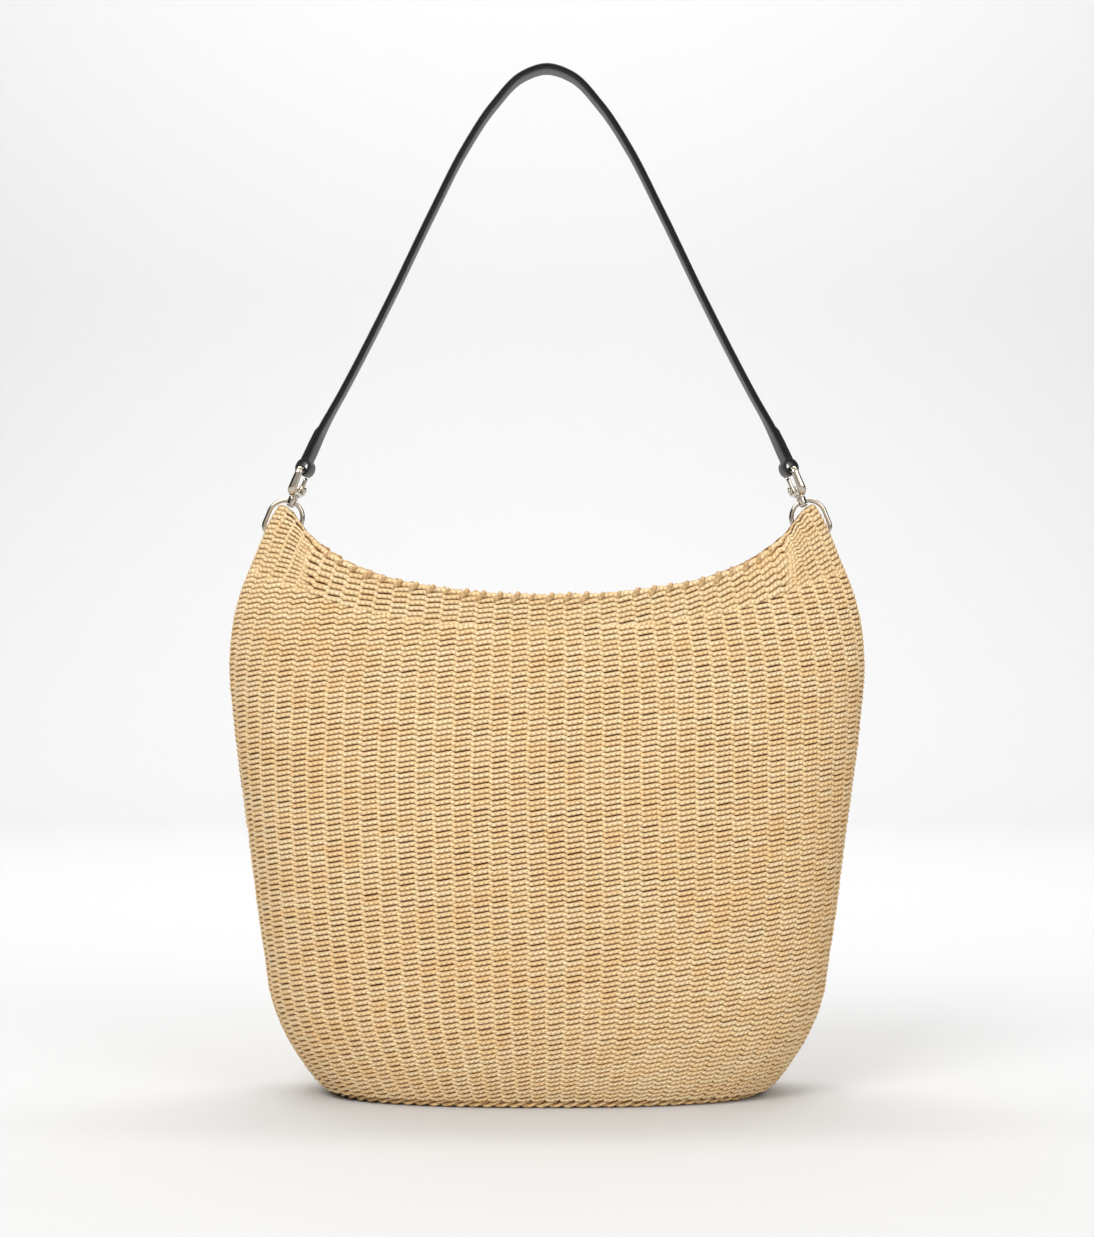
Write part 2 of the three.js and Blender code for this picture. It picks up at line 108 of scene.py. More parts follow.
def smoothstep(low, high, x):
    t = np.clip((x - low) / (high - low), 0, 1)
    return t * t * (3 - 2 * t)


class Form:
    """The bag's outside, taken in by an inset, as a function of the way round and the height.
    The way round runs from 0 to 1 by length, from the right-hand end towards the back."""

    LEVELS = np.linspace(0, 371, 94)
    STEPS = 1440

    def __init__(self, inset):
        turn = np.linspace(0, 2 * np.pi, 2881)
        c, s = np.cos(turn), np.sin(turn)
        share = np.linspace(0, 1, self.STEPS + 1)
        self.x = np.zeros((len(self.LEVELS), self.STEPS + 1))
        self.y = np.zeros_like(self.x)
        for k, z in enumerate(self.LEVELS):
            a = half_width(z) - inset
            b = max(half_depth(z) - inset, 0.5)
            x = a * np.sign(c) * np.abs(c) ** (2 / ROUND)
            y = b * np.sign(s) * np.abs(s) ** (2 / squareness(z))
            length = np.concatenate([[0], np.cumsum(np.hypot(np.diff(x), np.diff(y)))])
            self.x[k] = np.interp(share, length / length[-1], x)
            self.y[k] = np.interp(share, length / length[-1], y)

    def at(self, way, z):
        """The points at those ways round and heights, as x and y."""
        row = np.clip(z, 0, 370.9) / (self.LEVELS[1] - self.LEVELS[0])
        col = np.mod(way, 1) * self.STEPS
        i, j = row.astype(int), col.astype(int)
        u, v = row - i, col - j
        i2, j2 = np.minimum(i + 1, len(self.LEVELS) - 1), np.minimum(j + 1, self.STEPS)

        def mix(m):
            return ((1 - u) * ((1 - v) * m[i, j] + v * m[i, j2]) + u * ((1 - v) * m[i2, j] + v * m[i2, j2]))

        x, y = mix(self.x), mix(self.y)
        return x, y * self.closing(x, z)

    @staticmethod
    def closing(x, z):
        """Front and back draw together towards the two corners, where they are worked into one."""
        x = np.abs(x)
        corner = smoothstep(128, 158, x)
        below = np.clip((rim_height(x) - z) / 15, 0, 1)
        bulge = np.sqrt(np.clip(1 - (1 - below) ** 2, 0, 1))
        return 1 - corner * (1 - (0.42 + 0.58 * bulge))


# ---------- Meshes ----------


def new_object(name, verts, faces=(), edges=()):
    mesh = bpy.data.meshes.new(name)
    mesh.from_pydata([tuple(v) for v in verts], list(edges), [tuple(f) for f in faces])
    mesh.polygons.foreach_set("use_smooth", [True] * len(mesh.polygons))
    mesh.update()
    obj = bpy.data.objects.new(name, mesh)
    bpy.context.scene.collection.objects.link(obj)
    return obj


def add_attribute(obj, name, values, kind="FLOAT"):
    values = np.asarray(values, np.float32)
    data = obj.data.attributes.new(name, kind, "POINT").data
    data.foreach_set("vector" if kind == "FLOAT_VECTOR" else "value", values.ravel())


def grid_faces(rows, cols, closed_rows=False, closed_cols=True):
    """Quads between rows of points, with the columns joined into loops."""
    faces = []
    for i in range(rows if closed_rows else rows - 1):
        for j in range(cols if closed_cols else cols - 1):
            k, m = (i + 1) % rows, (j + 1) % cols
            faces.append((i * cols + j, i * cols + m, k * cols + m, k * cols + j))
    return faces


def outward(obj):
    """Merges doubles and turns every face outwards."""
    bm = bmesh.new()
    bm.from_mesh(obj.data)
    bmesh.ops.remove_doubles(bm, verts=bm.verts, dist=1e-7)
    bmesh.ops.recalc_face_normals(bm, faces=bm.faces)
    bm.to_mesh(obj.data)
    bm.free()
    return obj


def sweep_mesh(centres, sides, ups, sections, closed=False):
    """Points and faces of a solid swept along centres. Each section is a loop of (side, up) offsets."""
    verts = []
    for c, s, u, section in zip(centres, sides, ups, sections):
        verts += [Vector(c) + Vector(s) * a + Vector(u) * b for a, b in section]
    n, m = len(centres), len(sections[0])
    faces = grid_faces(n, m, closed_rows=closed)
    if not closed:
        faces += [tuple(reversed(range(m))), tuple(range((n - 1) * m, n * m))]
    return verts, faces


def lathe_mesh(profile, steps=32):
    """A solid of revolution about Z from (radius, height) points. The ends close on the axis."""
    ring = [(math.cos(t), math.sin(t)) for t in np.linspace(0, 2 * math.pi, steps, endpoint=False)]
    verts = [(r * c, r * s, z) for r, z in profile for c, s in ring]
    faces = grid_faces(len(profile), steps)
    last = (len(profile) - 1) * steps
    faces += [tuple(reversed(range(steps))), tuple(range(last, last + steps))]
    return [Vector(v) for v in verts], faces


def join_meshes(parts):
    verts, faces = [], []
    for v, f in parts:
        faces += [tuple(i + len(verts) for i in face) for face in f]
        verts += list(v)
    return verts, faces


def oval(a, b, steps=16, power=2.0):
    """A loop of (side, up) points round a rounded section."""
    loop = []
    for t in np.linspace(0, 2 * math.pi, steps, endpoint=False):
        c, s = math.cos(t), math.sin(t)
        side = a * math.copysign(abs(c) ** (2 / power), c)
        up = b * math.copysign(abs(s) ** (2 / power), s)
        loop.append((side, up))
    return loop


def in_place(verts, matrix):
    """Millimetre points in a local frame, as metres in the bag's frame."""
    return [(matrix @ Vector(v)) * MM for v in verts]


# ---------- Node trees ----------


class Nodes:
    """A short way to add linked nodes to a tree."""

    def __init__(self, tree):
        self.tree = tree
        tree.nodes.clear()

    def add(self, kind, inputs=None, **settings):
        node = self.tree.nodes.new(kind)
        for key, value in settings.items():
            setattr(node, key, value)
        for key, value in (inputs or {}).items():
            enabled = [socket for socket in node.inputs if socket.enabled]
            named = [socket for socket in enabled if key in (socket.name, socket.identifier)]
            self.give(named[0] if named else node.inputs[key], value)
        return node

    def give(self, socket, value):
        if isinstance(value, bpy.types.NodeSocket):
            self.tree.links.new(value, socket)
        else:
            socket.default_value = value

    def math(self, operation, *values, clamp=False):
        node = self.add("ShaderNodeMath", dict(enumerate(values)), operation=operation, use_clamp=clamp)
        return node.outputs[0]

    def vector(self, operation, *values, **named):
        node = self.add("ShaderNodeVectorMath", dict(enumerate(values)), operation=operation)
        for key, value in named.items():
            self.give(node.inputs[key], value)
        return node.outputs["Value" if operation in ("DOT_PRODUCT", "LENGTH") else "Vector"]

    def remap(self, value, low, high, to_low=0.0, to_high=1.0):
        inputs = {"Value": value, "From Min": low, "From Max": high, "To Min": to_low, "To Max": to_high}
        return self.add("ShaderNodeMapRange", inputs).outputs["Result"]

    def mix(self, factor, a, b):
        node = self.add("ShaderNodeMix", {}, data_type="RGBA")
        for index, value in ((0, factor), (6, a), (7, b)):
            self.give(node.inputs[index], value)
        return node.outputs[2]

    def noise(self, place, scale, detail):
        inputs = {"Vector": place, "Scale": scale, "Detail": detail}
        return self.add("ShaderNodeTexNoise", inputs).outputs["Fac"]

    def attribute(self, name):
        return self.add("ShaderNodeAttribute", attribute_name=name).outputs["Fac"]

    def object_place(self):
        return self.add("ShaderNodeTexCoord").outputs["Object"]

    def named(self, name, kind="FLOAT"):
        node = self.add("GeometryNodeInputNamedAttribute", {"Name": name}, data_type=kind)
        return node.outputs["Attribute"]

    def store(self, geometry, name, value):
        inputs = {"Geometry": geometry, "Name": name, "Value": value}
        node = self.add("GeometryNodeStoreNamedAttribute", inputs, data_type="FLOAT", domain="POINT")
        return node.outputs[0]

    def random(self, low, high, seed, **inputs):
        inputs = {"Min": low, "Max": high, "Seed": seed, **inputs}
        node = self.add("FunctionNodeRandomValue", inputs)
        return next(socket for socket in node.outputs if socket.enabled)

    def bent_line(self, count, place):
        """A curve of that many points, each moved to its place."""
        line = self.add("GeometryNodeCurvePrimitiveLine", {"Start": (0, 0, 0), "End": (0, 0, 1)})
        line = self.add("GeometryNodeResampleCurve", {"Curve": line.outputs[0], "Count": count})
        inputs = {"Geometry": line.outputs[0], "Position": place}
        return self.add("GeometryNodeSetPosition", inputs).outputs[0]

    def cord(self, curve, ring, **inputs):
        """The skin of a cord along a curve."""
        inputs = {"Curve": curve, "Profile Curve": ring, "Fill Caps": True, **inputs}
        return self.add("GeometryNodeCurveToMesh", inputs).outputs[0]

    def ring(self, sides, radius):
        inputs = {"Resolution": sides, "Radius": radius}
        return self.add("GeometryNodeCurvePrimitiveCircle", inputs).outputs[0]

    def numbered_ring(self, sides, radius):
        """A ring that stores how far round it each of its points is."""
        around = self.math("DIVIDE", self.add("GeometryNodeInputIndex").outputs[0], sides)
        return self.store(self.ring(sides, radius), "around", around)

    def along(self, curve):
        """Stores the length along a curve."""
        return self.store(curve, "along", self.add("GeometryNodeSplineParameter").outputs["Length"])

    def facing(self, axis, outwards, **axes):
        inputs = {"Primary Axis": axis, "Secondary Axis": outwards}
        return self.add("FunctionNodeAxesToRotation", inputs, **axes).outputs[0]

    def set_on(self, places, shape, rotation, **inputs):
        inputs = {"Points": places, "Instance": shape, "Rotation": rotation, **inputs}
        return self.add("GeometryNodeInstanceOnPoints", inputs).outputs[0]

    def finish(self, geometry, material, out):
        """Ends a tree with a real, smooth mesh in its material."""
        real = self.add("GeometryNodeRealizeInstances", {"Geometry": geometry})
        smooth = self.add("GeometryNodeSetShadeSmooth", {"Geometry": real.outputs[0]})
        inputs = {"Geometry": smooth.outputs[0], "Material": material}
        self.tree.links.new(self.add("GeometryNodeSetMaterial", inputs).outputs[0], out)


def group_tree(name, kind, inputs, outputs):
    """A node group with named sockets: (name, type, default) for inputs and (name, type) for outputs."""
    tree = bpy.data.node_groups.new(name, kind)
    nodes = Nodes(tree)
    for label, socket, default in inputs:
        item = tree.interface.new_socket(label, in_out="INPUT", socket_type="NodeSocket" + socket)
        if default is not None:
            item.default_value = default
    for label, socket in outputs:
        tree.interface.new_socket(label, in_out="OUTPUT", socket_type="NodeSocket" + socket)
    entry = nodes.add("NodeGroupInput")
    leave = nodes.add("NodeGroupOutput")
    return tree, nodes, entry.outputs, leave.inputs


def run_tree(obj, tree, values):
    """Gives an object a node tree with those input values and returns the plain mesh that it makes."""
    modifier = obj.modifiers.new(tree.name, "NODES")
    modifier.node_group = tree
    for item in tree.interface.items_tree:
        if item.item_type == "SOCKET" and item.in_out == "INPUT" and item.name in values:
            modifier[item.identifier] = values[item.name]
    bpy.context.view_layer.update()
    graph = bpy.context.evaluated_depsgraph_get()
    mesh = bpy.data.meshes.new_from_object(obj.evaluated_get(graph), depsgraph=graph)
    obj.modifiers.remove(modifier)
    old = obj.data
    obj.data = mesh
    bpy.data.meshes.remove(old)
    return obj


def set_curve(node, points):
    """Sets a Float Curve node's line through those points."""
    curve = node.mapping.curves[0]
    while len(curve.points) < len(points):
        curve.points.new(0.5, 0.5)
    for point, (x, y) in zip(curve.points, points):
        point.location = (x, y)
        point.handle_type = "AUTO"
    node.mapping.use_clip = False
    node.mapping.update()


# ---------- Shader groups ----------


def cord_group():
    """Two-ply twisted paper cord: its colour mix, its roughness and its relief."""
    tree, n, inp, out = group_tree(
        "Twisted cord", "ShaderNodeTree",
        [("Ply Pitch", "Float", 0.0032), ("Variation", "Float", 0.5), ("Seed", "Float", 0.0)],
        [("Light", "Float"), ("Groove", "Float"), ("Rough", "Float"), ("Height", "Float")])
    along = n.attribute("along")
    around = n.attribute("around")
    place = n.object_place()
    turns = n.math("DIVIDE", along, inp["Ply Pitch"])
    wave = n.math("SINE", n.math("MULTIPLY", n.math("SUBTRACT", turns, around), 2 * math.pi))
    groove = n.math("POWER", n.remap(wave, 1, -1), 3.0)
    # Fibres lie along the ply, so they are stretched along the cord.
    slanted = n.math("SUBTRACT", n.math("MULTIPLY", around, 14.0), n.math("MULTIPLY", turns, 9.0))
    fibre_place = n.add("ShaderNodeCombineXYZ", {
        "X": n.math("MULTIPLY", along, 900.0),
        "Y": slanted,
        "Z": inp["Seed"]}).outputs[0]
    fibre = n.noise(fibre_place, 1.0, 2.0)
    patch = n.noise(place, 75.0, 2.0)
    broad = n.noise(place, 9.0, 1.0)
    spots = n.noise(place, 420.0, 1.0)
    tone = n.math("ADD", n.math("MULTIPLY", n.remap(patch, 0.32, 0.68), 0.3),
                  n.math("MULTIPLY", n.remap(fibre, 0.3, 0.7), 0.34))
    tone = n.math("ADD", tone, n.math("MULTIPLY", n.remap(broad, 0.35, 0.65), 0.14))
    tone = n.math("ADD", tone, n.math("MULTIPLY", n.remap(spots, 0.35, 0.65), 0.22))
    light = n.math("MULTIPLY", n.math("SUBTRACT", tone, 0.5), inp["Variation"])
    links = tree.links
    links.new(n.math("ADD", light, 0.5, clamp=True), out["Light"])
    links.new(groove, out["Groove"])
    links.new(n.math("ADD", n.math("MULTIPLY", fibre, 0.2), 0.52), out["Rough"])
    height = n.math("SUBTRACT", n.math("MULTIPLY", fibre, 0.25), groove)
    links.new(height, out["Height"])
    return tree


def leather_group():
    """Fine leather grain with soft creases and worn high spots."""
    tree, n, inp, out = group_tree(
        "Leather grain", "ShaderNodeTree",
        [("Grain Scale", "Float", 1400.0), ("Crease", "Float", 0.3), ("Wear", "Float", 0.3)],
        [("Tone", "Float"), ("Rough", "Float"), ("Height", "Float")])
    place = n.object_place()
    cells = n.add("ShaderNodeTexVoronoi", {"Vector": place, "Scale": inp["Grain Scale"]},
                  feature="DISTANCE_TO_EDGE").outputs["Distance"]
    pores = n.remap(cells, 0.0, 0.18)
    slow = n.noise(place, 38.0, 4.0)
    fine = n.noise(place, 900.0, 3.0)
    creases = n.math("MULTIPLY", n.remap(slow, 0.35, 0.7), inp["Crease"])
    links = tree.links
    links.new(n.math("MULTIPLY", n.remap(slow, 0.4, 0.75), inp["Wear"]), out["Tone"])
    links.new(n.math("ADD", n.math("MULTIPLY", fine, 0.16), n.math("MULTIPLY", slow, 0.14)), out["Rough"])
    links.new(n.math("ADD", n.math("ADD", pores, creases), n.math("MULTIPLY", fine, 0.3)), out["Height"])
    return tree


def handling_group():
    """Hairline scratches and finger haze on plated metal."""
    tree, n, inp, out = group_tree(
        "Handling marks", "ShaderNodeTree",
        [("Haze", "Float", 0.06), ("Scratch Scale", "Float", 500.0)],
        [("Rough", "Float"), ("Tone", "Float"), ("Height", "Float")])
    place = n.object_place()
    stretch = {"Vector": place, "Scale": (1.0, 1.0, 0.06), "Rotation": (0.3, 0.5, 0.2)}
    lines = n.noise(n.add("ShaderNodeMapping", stretch).outputs[0], inp["Scratch Scale"], 3.0)
    haze = n.noise(place, 160.0, 3.0)
    marks = n.math("ADD", n.math("MULTIPLY", n.remap(haze, 0.4, 0.7), inp["Haze"]),
                   n.math("MULTIPLY", n.remap(lines, 0.55, 0.75), inp["Haze"]))
    links = tree.links
    links.new(n.math("ADD", marks, 0.1), out["Rough"])
    links.new(n.remap(haze, 0.3, 0.75), out["Tone"])
    links.new(lines, out["Height"])
    return tree


CORD = cord_group()
GRAIN = leather_group()
HANDLING = handling_group()


def start_material(name, slot_color):
    material = bpy.data.materials.new(name)
    material.use_nodes = True
    material.diffuse_color = (*slot_color, 1)
    n = Nodes(material.node_tree)
    shader = n.add("ShaderNodeBsdfPrincipled")
    output = n.add("ShaderNodeOutputMaterial")
    material.node_tree.links.new(shader.outputs[0], output.inputs[0])
    return material, n, shader


def place_group(n, tree, values):
    return n.add("ShaderNodeGroup", values, node_tree=tree).outputs


def bump(n, shader, height, strength, distance):
    inputs = {"Height": height, "Strength": strength, "Distance": distance}
    n.tree.links.new(n.add("ShaderNodeBump", inputs).outputs["Normal"], shader.inputs["Normal"])


def cord_material(name, light, dark, crease_shade_color, pitch=0.0032, crease_shade_depth=0.9, relief=0.0005):
    material, n, shader = start_material(name, light)
    cord = place_group(n, CORD, {"Ply Pitch": pitch, "Variation": 1.0, "Seed": 3.0})
    sunk = n.attribute("sunk")
    chance = n.attribute("chance")
    luck = n.math("MULTIPLY", n.math("SUBTRACT", chance, 0.5), 0.5)
    shade = n.math("ADD", cord["Light"], luck, clamp=True)
    straw = n.mix(shade, (*dark, 1), (*light, 1))
    # Painted shade: the ply grooves are mixed towards the crease shade colour.
    groove_shaded = n.mix(n.math("MULTIPLY", cord["Groove"], 0.35), straw, (*crease_shade_color, 1))
    # Painted shade: where rows meet, the colour is mixed towards the crease shade colour, deepest under the
    # middle of each stitch.
    crease = n.remap(n.math("ABSOLUTE", n.attribute("crown")), 0.86, 0.27)
    crease = n.math("MULTIPLY", crease, n.remap(sunk, 0.1, 0.9, 1.0, 0.25))
    crease_shaded = n.mix(n.math("MULTIPLY", crease, crease_shade_depth), groove_shaded, (*crease_shade_color, 1))
    n.tree.links.new(crease_shaded, shader.inputs["Base Color"])
    n.tree.links.new(cord["Rough"], shader.inputs["Roughness"])
    shader.inputs["Specular IOR Level"].default_value = 0.08
    bump(n, shader, cord["Height"], 0.8, relief)
    return material


def leather_material(name, color, worn, rough, grain=1400.0, coat=0.0):
    material, n, shader = start_material(name, color)
    grain_out = place_group(n, GRAIN, {"Grain Scale": grain, "Crease": 0.5, "Wear": 0.5})
    n.tree.links.new(n.mix(grain_out["Tone"], (*color, 1), (*worn, 1)), shader.inputs["Base Color"])
    n.tree.links.new(n.math("ADD", grain_out["Rough"], rough), shader.inputs["Roughness"])
    shader.inputs["Specular IOR Level"].default_value = 0.3
    shader.inputs["Coat Weight"].default_value = coat
    shader.inputs["Coat Roughness"].default_value = 0.3
    bump(n, shader, grain_out["Height"], 0.35, 0.0002)
    return material


def metal_material(name, color, worn, haze):
    material, n, shader = start_material(name, color)
    marks = place_group(n, HANDLING, {"Haze": haze, "Scratch Scale": 500.0})
    n.tree.links.new(n.mix(marks["Tone"], (*color, 1), (*worn, 1)), shader.inputs["Base Color"])
    n.tree.links.new(marks["Rough"], shader.inputs["Roughness"])
    shader.inputs["Metallic"].default_value = 1.0
    bump(n, shader, marks["Height"], 0.05, 0.0001)
    return material


def cotton_material(name, color, dark):
    material, n, shader = start_material(name, color)
    place = n.object_place()
    waves = []
    for direction in ((1900.0, 900.0, 0.0), (0.0, 0.0, 2100.0)):
        waves.append(n.math("SINE", n.vector("DOT_PRODUCT", place, direction)))
    weave = n.math("MULTIPLY", waves[0], waves[1])
    slub = n.noise(place, 220.0, 4.0)
    flecks = n.noise(place, 1300.0, 1.0)
    light_fleck = n.remap(flecks, 0.6, 0.75, 0.0, 0.5)
    tone = n.math("ADD", n.remap(slub, 0.35, 0.65, 0.0, 0.7), light_fleck, clamp=True)
    n.tree.links.new(n.mix(tone, (*color, 1), (*dark, 1)), shader.inputs["Base Color"])
    n.tree.links.new(n.remap(weave, -1, 1, 0.8, 0.95), shader.inputs["Roughness"])
    shader.inputs["Sheen Weight"].default_value = 0.15
    bump(n, shader, n.math("ADD", weave, n.math("MULTIPLY", slub, 2.0)), 0.4, 0.00015)
    return material


STRAW = cord_material(
    "natural paper cord", (1.0, 0.82, 0.51), (0.96, 0.655, 0.32), (0.22, 0.05, 0.002), crease_shade_depth=1.0)
PALE_STRAW = cord_material(
    "pale border cord", (0.97, 0.79, 0.49), (0.9, 0.63, 0.32), (0.24, 0.08, 0.008), crease_shade_depth=0.95)
# Painted light: the base's cord colours are lightened to lift the shade that it sits in by the floor.
BASE_STRAW_LIGHTENED = cord_material(
    "base border cord", (1.0, 0.74, 0.4), (0.88, 0.55, 0.24), (0.22, 0.07, 0.012), pitch=0.006)
# Painted shade: the stakes show only in the gaps between the cords, and their deep brown stands for the shade
# there.
STAKE_SHADE = cord_material(
    "stakes in painted shade", (0.28, 0.11, 0.022), (0.17, 0.06, 0.01), (0.1, 0.03, 0.004))
LEATHER = leather_material(
    "black strap leather", (0.006, 0.006, 0.007), (0.014, 0.014, 0.016), 0.24, coat=0.05)
EDGE_PAINT = leather_material(
    "painted strap edge", (0.003, 0.003, 0.0035), (0.006, 0.006, 0.007), 0.2, 3000.0, 0.0)
# Painted light: the underside is a lighter grey than the strap's face, standing for the light that falls on
# it.
LIT_UNDERSIDE = leather_material("strap underside", (0.02, 0.02, 0.022), (0.045, 0.045, 0.05), 0.26, 1800.0, 0.1)
THREAD = leather_material("black waxed thread", (0.012, 0.012, 0.013), (0.04, 0.04, 0.042), 0.3, 5000.0)
NICKEL = metal_material("polished nickel", (0.62, 0.56, 0.48), (0.5, 0.43, 0.34), 0.08)
STEEL = metal_material("drawn steel", (0.55, 0.55, 0.56), (0.42, 0.42, 0.43), 0.3)
COTTON = cotton_material("natural cotton", (0.72, 0.63, 0.48), (0.52, 0.43, 0.3))
COTTON_THREAD = cotton_material("cotton thread", (0.78, 0.7, 0.56), (0.6, 0.5, 0.36))


def finish_piece(obj, material, body, nodes=(), blend=None):
    """Gives a piece its material and attaches it to its body. With a blend, given as (other body, start,
    end), its transform is applied to its mesh instead and it is attached to no body; nothing is blended.
    """
    if material is not None:
        obj.data.materials.clear()
        obj.data.materials.append(material)
    if blend:
        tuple(blend[1])
        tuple(blend[2])
        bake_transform(obj)
    else:
        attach(obj, body)
    if nodes:
        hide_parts(*nodes)
    return obj


# ---------- Twined rows ----------


def twining_tree():
    """Turns smooth row lines into twined cord: each stitch rises along its column, bulges in the
    middle, and sinks and drops between columns. The lines carry out, up, phase, size and row."""
    tree, n, inp, out = group_tree(
        "Twined rows", "GeometryNodeTree",
        [("Lines", "Geometry", None), ("Rise", "Float", 0.0013), ("Bulge", "Float", 0.0006),
         ("Sides", "Int", 6), ("Unevenness", "Float", 0.00022), ("Seed", "Int", 4),
         ("Finish", "Material", None)],
        [("Mesh", "Geometry")])

    phase = n.named("phase")
    share = n.math("FRACT", phase)
    lift = n.add("ShaderNodeFloatCurve", {"Value": share})
    set_curve(lift, [(0, 0.5), (0.1, 0.06), (0.3, 0.27), (0.5, 0.5), (0.7, 0.73), (0.88, 0.96), (1, 0.5)])
    swell = n.add("ShaderNodeFloatCurve", {"Value": share})
    set_curve(swell, [(0, 0.0), (0.1, 0.3), (0.3, 0.82), (0.5, 1.0), (0.7, 0.82), (0.88, 0.3), (1, 0.0)])
    swell = swell.outputs[0]
    stitch_id = n.math("ADD", n.math("FLOOR", phase), n.math("MULTIPLY", n.named("row"), 211.0))

    def draw(low, high, add):
        return n.random(low, high, n.math("ADD", inp["Seed"], add), ID=stitch_id)

    wobble = n.math("MULTIPLY", draw(-1.0, 1.0, 0), inp["Unevenness"])
    proud = n.math("MULTIPLY", draw(-1.0, 1.0, 7), inp["Unevenness"])
    rise = n.math("MULTIPLY", n.math("SUBTRACT", lift.outputs[0], 0.5), inp["Rise"])
    up_by = n.math("ADD", rise, n.math("MULTIPLY", wobble, swell))
    out_by = n.math("MULTIPLY", n.math("SUBTRACT", swell, 0.65), inp["Bulge"])
    out_by = n.math("ADD", out_by, n.math("MULTIPLY", proud, swell))
    outwards = n.named("out", "FLOAT_VECTOR")
    offset = n.vector(
        "ADD",
        n.vector("SCALE", n.named("up", "FLOAT_VECTOR"), Scale=up_by),
        n.vector("SCALE", outwards, Scale=out_by))
    thick = n.math("MULTIPLY", n.named("size"), n.remap(swell, 0.0, 1.0, 0.86, 0.93))
    thick = n.math("MULTIPLY", thick, n.math("ADD", 1.0, n.math("MULTIPLY", draw(-1.0, 1.0, 3), 0.06)))
    moved = n.add("GeometryNodeSetPosition", {"Geometry": inp["Lines"], "Offset": offset}).outputs[0]
    kept = n.store(moved, "sunk", n.math("SUBTRACT", 1.0, swell))
    kept = n.store(kept, "chance", draw(0.0, 1.0, 11))
    kept = n.store(kept, "thick", thick)
    line = n.along(n.add("GeometryNodeMeshToCurve", {"Mesh": kept}).outputs[0])
    line = n.add("GeometryNodeSetCurveNormal", {"Curve": line, "Normal": outwards}, mode="FREE").outputs[0]
    tube = n.cord(line, n.numbered_ring(inp["Sides"], 1.0), Scale=n.named("thick"))
    # How squarely the cord's skin faces out of the weave: 1 on its crown and 0 where rows meet. The cord
    # materials paint shade where it is low.
    crown = n.vector("DOT_PRODUCT", n.add("GeometryNodeInputNormal").outputs[0], outwards)
    n.finish(n.store(tube, "crown", crown), inp["Finish"], out["Mesh"])
    return tree


TWINING = twining_tree()


def stitch_ways():
    """The ways round at which rows are sampled."""
    return np.array([(column + share) / STITCHES for column in range(STITCHES) for share in STITCH_SAMPLES])


def settled_points(form, ways, start, height_of):
    """Millimetre points whose height is a function of the distance from the middle."""
    z = np.full(len(ways), start)
    for _ in range(40):
        x, _y = form.at(ways, z)
        z = 0.5 * z + 0.5 * height_of(np.abs(x))
    x, y = form.at(ways, z)
    return np.stack([x, y, z], 1)


def row_points(form, ways, height_of):
    return settled_points(form, ways, 330.0, lambda across: np.minimum(height_of(across), TIP_TOP))


def row_frame(form, ways, points):
    """The outward and upward directions along a row."""
    step = 0.0006
    before = np.stack([*form.at(ways - step, points[:, 2]), points[:, 2]], 1)
    after = np.stack([*form.at(ways + step, points[:, 2]), points[:, 2]], 1)
    above = np.stack([*form.at(ways, points[:, 2] + 1), points[:, 2] + 1], 1)
    below = np.stack([*form.at(ways, points[:, 2] - 1), points[:, 2] - 1], 1)
    along = after - before
    up = above - below
    out = np.cross(along, up)
    out /= np.linalg.norm(out, axis=1, keepdims=True)
    row = np.gradient(points, axis=0)
    row /= np.linalg.norm(row, axis=1, keepdims=True)
    up = np.cross(out, row)
    return out, up / np.linalg.norm(up, axis=1, keepdims=True)


def twined_piece(name, rows, finish, **values):
    """A piece made of rows. Each row is (points, out, up, phase, size, number, closed)."""
    verts, edges = [], []
    columns = {"out": [], "up": [], "phase": [], "size": [], "row": []}
    for points, out, up, phase, size, number, closed in rows:
        start = len(verts)
        count = len(points)
        verts += [tuple(p) for p in points * MM]
        edges += [(start + i, start + i + 1) for i in range(count - 1)]
        if closed:
            edges.append((start + count - 1, start))
        columns["out"].append(out)
        columns["up"].append(up)
        columns["phase"].append(phase)
        columns["size"].append(size * MM)
        columns["row"].append(np.full(count, number))
    obj = new_object(name, verts, edges=edges)
    for key, value in columns.items():
        kind = "FLOAT_VECTOR" if key in ("out", "up") else "FLOAT"
        add_attribute(obj, key, np.concatenate(value), kind)
    settings = {"Rise": 0.0018, "Bulge": 0.0004, "Sides": 6, "Unevenness": 0.00018, "Seed": 4}
    return run_tree(obj, TWINING, {**settings, "Finish": finish, **values})


def make_row(form, ways, height_of, size, number, closed, tucked=1.9):
    points = row_points(form, ways, height_of)
    out, up = row_frame(form, ways, points)
    size = np.broadcast_to(size, len(ways)).copy()
    if not closed:
        # An open row's ends are tucked in under the band above.
        tuck = np.minimum(np.arange(len(ways)), np.arange(len(ways))[::-1])
        points = points - out * (tucked * np.exp(-tuck / 2.2))[:, None]
        size *= 1 - 0.4 * np.exp(-tuck / 1.5)
    return points, out, up, ways * STITCHES, size, number, closed


def both_ends(every, wanted):
    """The wanted ways of the bag's right-hand end, round over the start, and of its left-hand end."""
    right = np.concatenate([np.flatnonzero(wanted & (every > 0.75)), np.flatnonzero(wanted & (every < 0.25))])
    left = np.flatnonzero(wanted & (every > 0.25) & (every < 0.75))
    ends = ((right, every[right] - (every[right] > 0.5)), (left, every[left]))
    return [end for end in ends if len(end[0]) > 4]


def row_pitch(z):
    """Rows are closer together where the side turns in to the base."""
    return ROW_PITCH * (0.8 + 0.2 * smoothstep(5, 50, z))


def row_heights():
    """Heights of the level rows."""
    heights = []
    z = FIRST_ROW
    while z < LAST_ROW:
        heights.append(z)
        z += row_pitch(z)
    return heights


